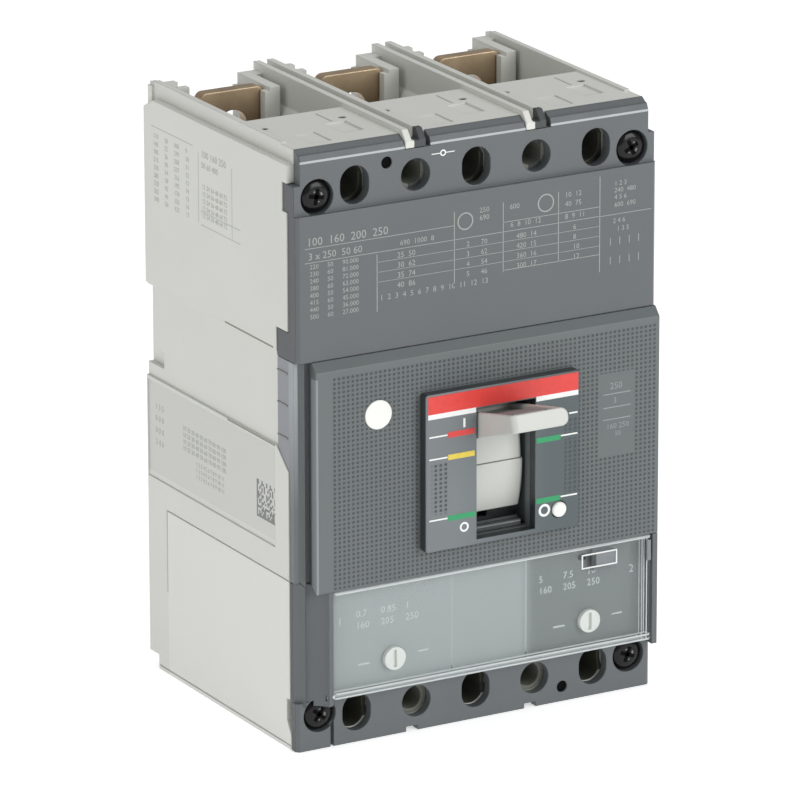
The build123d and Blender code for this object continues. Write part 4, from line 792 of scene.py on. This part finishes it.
# ---------------------------------------------------------------- small mouldings
def small_mouldings():
    """Step below the barrel, clip of the clear cover, outline of the seal window, and the eyelet behind it."""
    bm = bmesh.new()
    add_block(bm, (SLOT_LEFT + 0.1, 12.3), (-81.0, -78.5), (-26.8, -25.1), rounding=0.25)
    add_block(bm, (SLOT_LEFT + 0.1, 12.3), (-79.0, -78.5), (-25.2, -24.65))
    piece("slot_step", bm, shield)
    # Painted highlight: a pale line along the lit top edge of the step.
    print_marks("slot_step_painted_highlight", [(SLOT_LEFT + 0.4, 12.0, -25.65, -25.4)], ink_fascia, 81.0)

    bm = bmesh.new()
    add_block(bm, (48.9, 50.2), (-CLEAR - 0.5, -CLEAR + 0.1), (-42.2, -36.6), rounding=0.25)
    piece("cover_clip", bm, seal, rides="clear_cover")

    bm = bmesh.new()
    left, right, low, high = 29.9, 39.8, -41.1, -37.9
    wall = 0.35
    front = (-CLEAR - 0.12, -CLEAR + 0.05)
    for x, z in (((left - wall, right + wall), (high, high + wall)),
                 ((left - wall, right + wall), (low - wall, low)),
                 ((left - wall, left), (low, high)), ((right, right + wall), (low, high))):
        add_block(bm, x, front, z)
    piece("seal_window_frame", bm, ink_white, rides="clear_cover")
    bm = bmesh.new()
    add_block(bm, (left + 0.6, left + 2.4), (-TRIP - 0.5, -TRIP), (low + 1.2, high - 0.6))
    piece("seal_eyelet", bm, dark)


def cover_screws():
    """Glossy black pan heads on plain shanks, each with a dark matte cross painted as the shade of its recess, and
    three painted glints around it.
    """
    face = -corners("cover_screws")[0].y
    head = 4.3
    shank = 1.9
    for x, z, turn in SCREWS:
        corner = ("upper" if z > 0 else "lower") + ("_left" if x < 0 else "_right")
        place = Matrix.Translation(Vector((x, 0, z)) * MM)
        bm = bmesh.new()
        outline = [(0.0, face - 0.02), (2.2, face - 0.04), (3.1, face - 0.2), (3.8, face - 0.55),
                   (head, face - 1.1), (head, face - 2.0), (shank, face - 2.0), (shank, face - 17.0),
                   (0.0, face - 17.0)]
        add_turned(bm, outline, x, z, steps=36, closed=False)
        made = piece("screw_head_" + corner, bm, screw, smooth=True)
        if corner == "upper_left":
            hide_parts("cover_screws")
        # Painted shade: a flat dark cross stands in for the shade in the cross recess.
        bm = bmesh.new()
        for quarter in (0, 90):
            spin = place @ Matrix.Rotation(radians(turn + quarter), 4, "Y")
            add_block(bm, (-2.1, 2.1), (-face - 0.03, -face + 0.6), (-0.52, 0.52), turn=spin)
        piece("screw_cross_" + corner, bm, cross)
        # Painted glints: three pale specks around the cross.
        bm = bmesh.new()
        for angle, spread, size in ((35, 0.55, 0.45), (125, 0.4, 0.3), (-55, 0.35, 0.25)):
            spin = place @ Matrix.Rotation(radians(turn - angle), 4, "Y")
            add_block(bm, (1.25, 1.25 + spread), (-face - 0.04, -face + 0.3), (-size, size), turn=spin)
        piece("screw_glint_" + corner, bm, rim)


bezel_prints()
cover_prints()
trip_prints()
side_prints()
toggle_handle()
small_mouldings()
cover_screws()


# ---------------------------------------------------------------- floor, light and camera
def studio_floor():
    bm = bmesh.new()
    bmesh.ops.create_grid(bm, x_segments=1, y_segments=1, size=6.0,
                          matrix=Matrix.Translation((0.0, 0.0, cad_bounds[0].z - 0.0001)))
    mesh = bpy.data.meshes.new("floor")
    bm.to_mesh(mesh)
    bm.free()
    made = bpy.data.objects.new("floor", mesh)
    bpy.context.scene.collection.objects.link(made)
    ground = Tree("floor_white")
    ground.surface.inputs["Base Color"].default_value = (0.9, 0.9, 0.9, 1.0)
    ground.surface.inputs["Roughness"].default_value = 0.9
    ground.surface.inputs["Specular IOR Level"].default_value = 0.0
    ground.surface.inputs["Emission Color"].default_value = (1.0, 1.0, 1.0, 1.0)
    ground.surface.inputs["Emission Strength"].default_value = 0.5
    mesh.materials.append(ground.material)


def area_light(name, place, width, height, power):
    light = bpy.data.lights.new(name, "AREA")
    light.shape = "RECTANGLE"
    light.size = width
    light.size_y = height
    light.energy = power
    made = bpy.data.objects.new(name, light)
    made.location = place
    made.rotation_euler = (-Vector(place)).to_track_quat("-Z", "Y").to_euler()
    bpy.context.scene.collection.objects.link(made)


def studio_camera():
    camera = bpy.data.cameras.new("camera")
    camera.sensor_width = 36.0
    camera.lens = 332.3
    camera.clip_start = 0.05
    camera.clip_end = 20.0
    eye = bpy.data.objects.new("camera", camera)
    forward = Vector((0.4717, 0.8289, -0.3008)).normalized()
    right = forward.cross(Vector((0, 0, 1))).normalized()
    upward = right.cross(forward)
    roll = radians(-0.108)
    side = right * cos(roll) + upward * sin(roll)
    above = upward * cos(roll) - right * sin(roll)
    turn = Matrix((side, above, -forward)).transposed().to_4x4()
    turn.translation = Vector((-0.8986, -1.6193, 0.5704))
    eye.matrix_world = turn
    bpy.context.scene.collection.objects.link(eye)
    bpy.context.scene.camera = eye


studio_floor()
area_light("key_front_right", (0.75, -1.5, 0.75), 1.1, 1.1, 17.0)
area_light("fill_left", (-1.5, -0.5, 0.55), 1.0, 1.2, 5.0)
area_light("top_soft", (0.0, 0.15, 1.4), 1.2, 1.0, 5.5)
studio_camera()

world = bpy.data.worlds.new("studio")
bpy.context.scene.world = world
world.use_nodes = True
world.node_tree.nodes["Background"].inputs["Color"].default_value = (1.0, 1.0, 1.0, 1.0)
world.node_tree.nodes["Background"].inputs["Strength"].default_value = 0.3
bpy.context.scene.view_settings.view_transform = "Standard"
bpy.context.scene.view_settings.look = "None"
bpy.context.scene.render.film_transparent = False
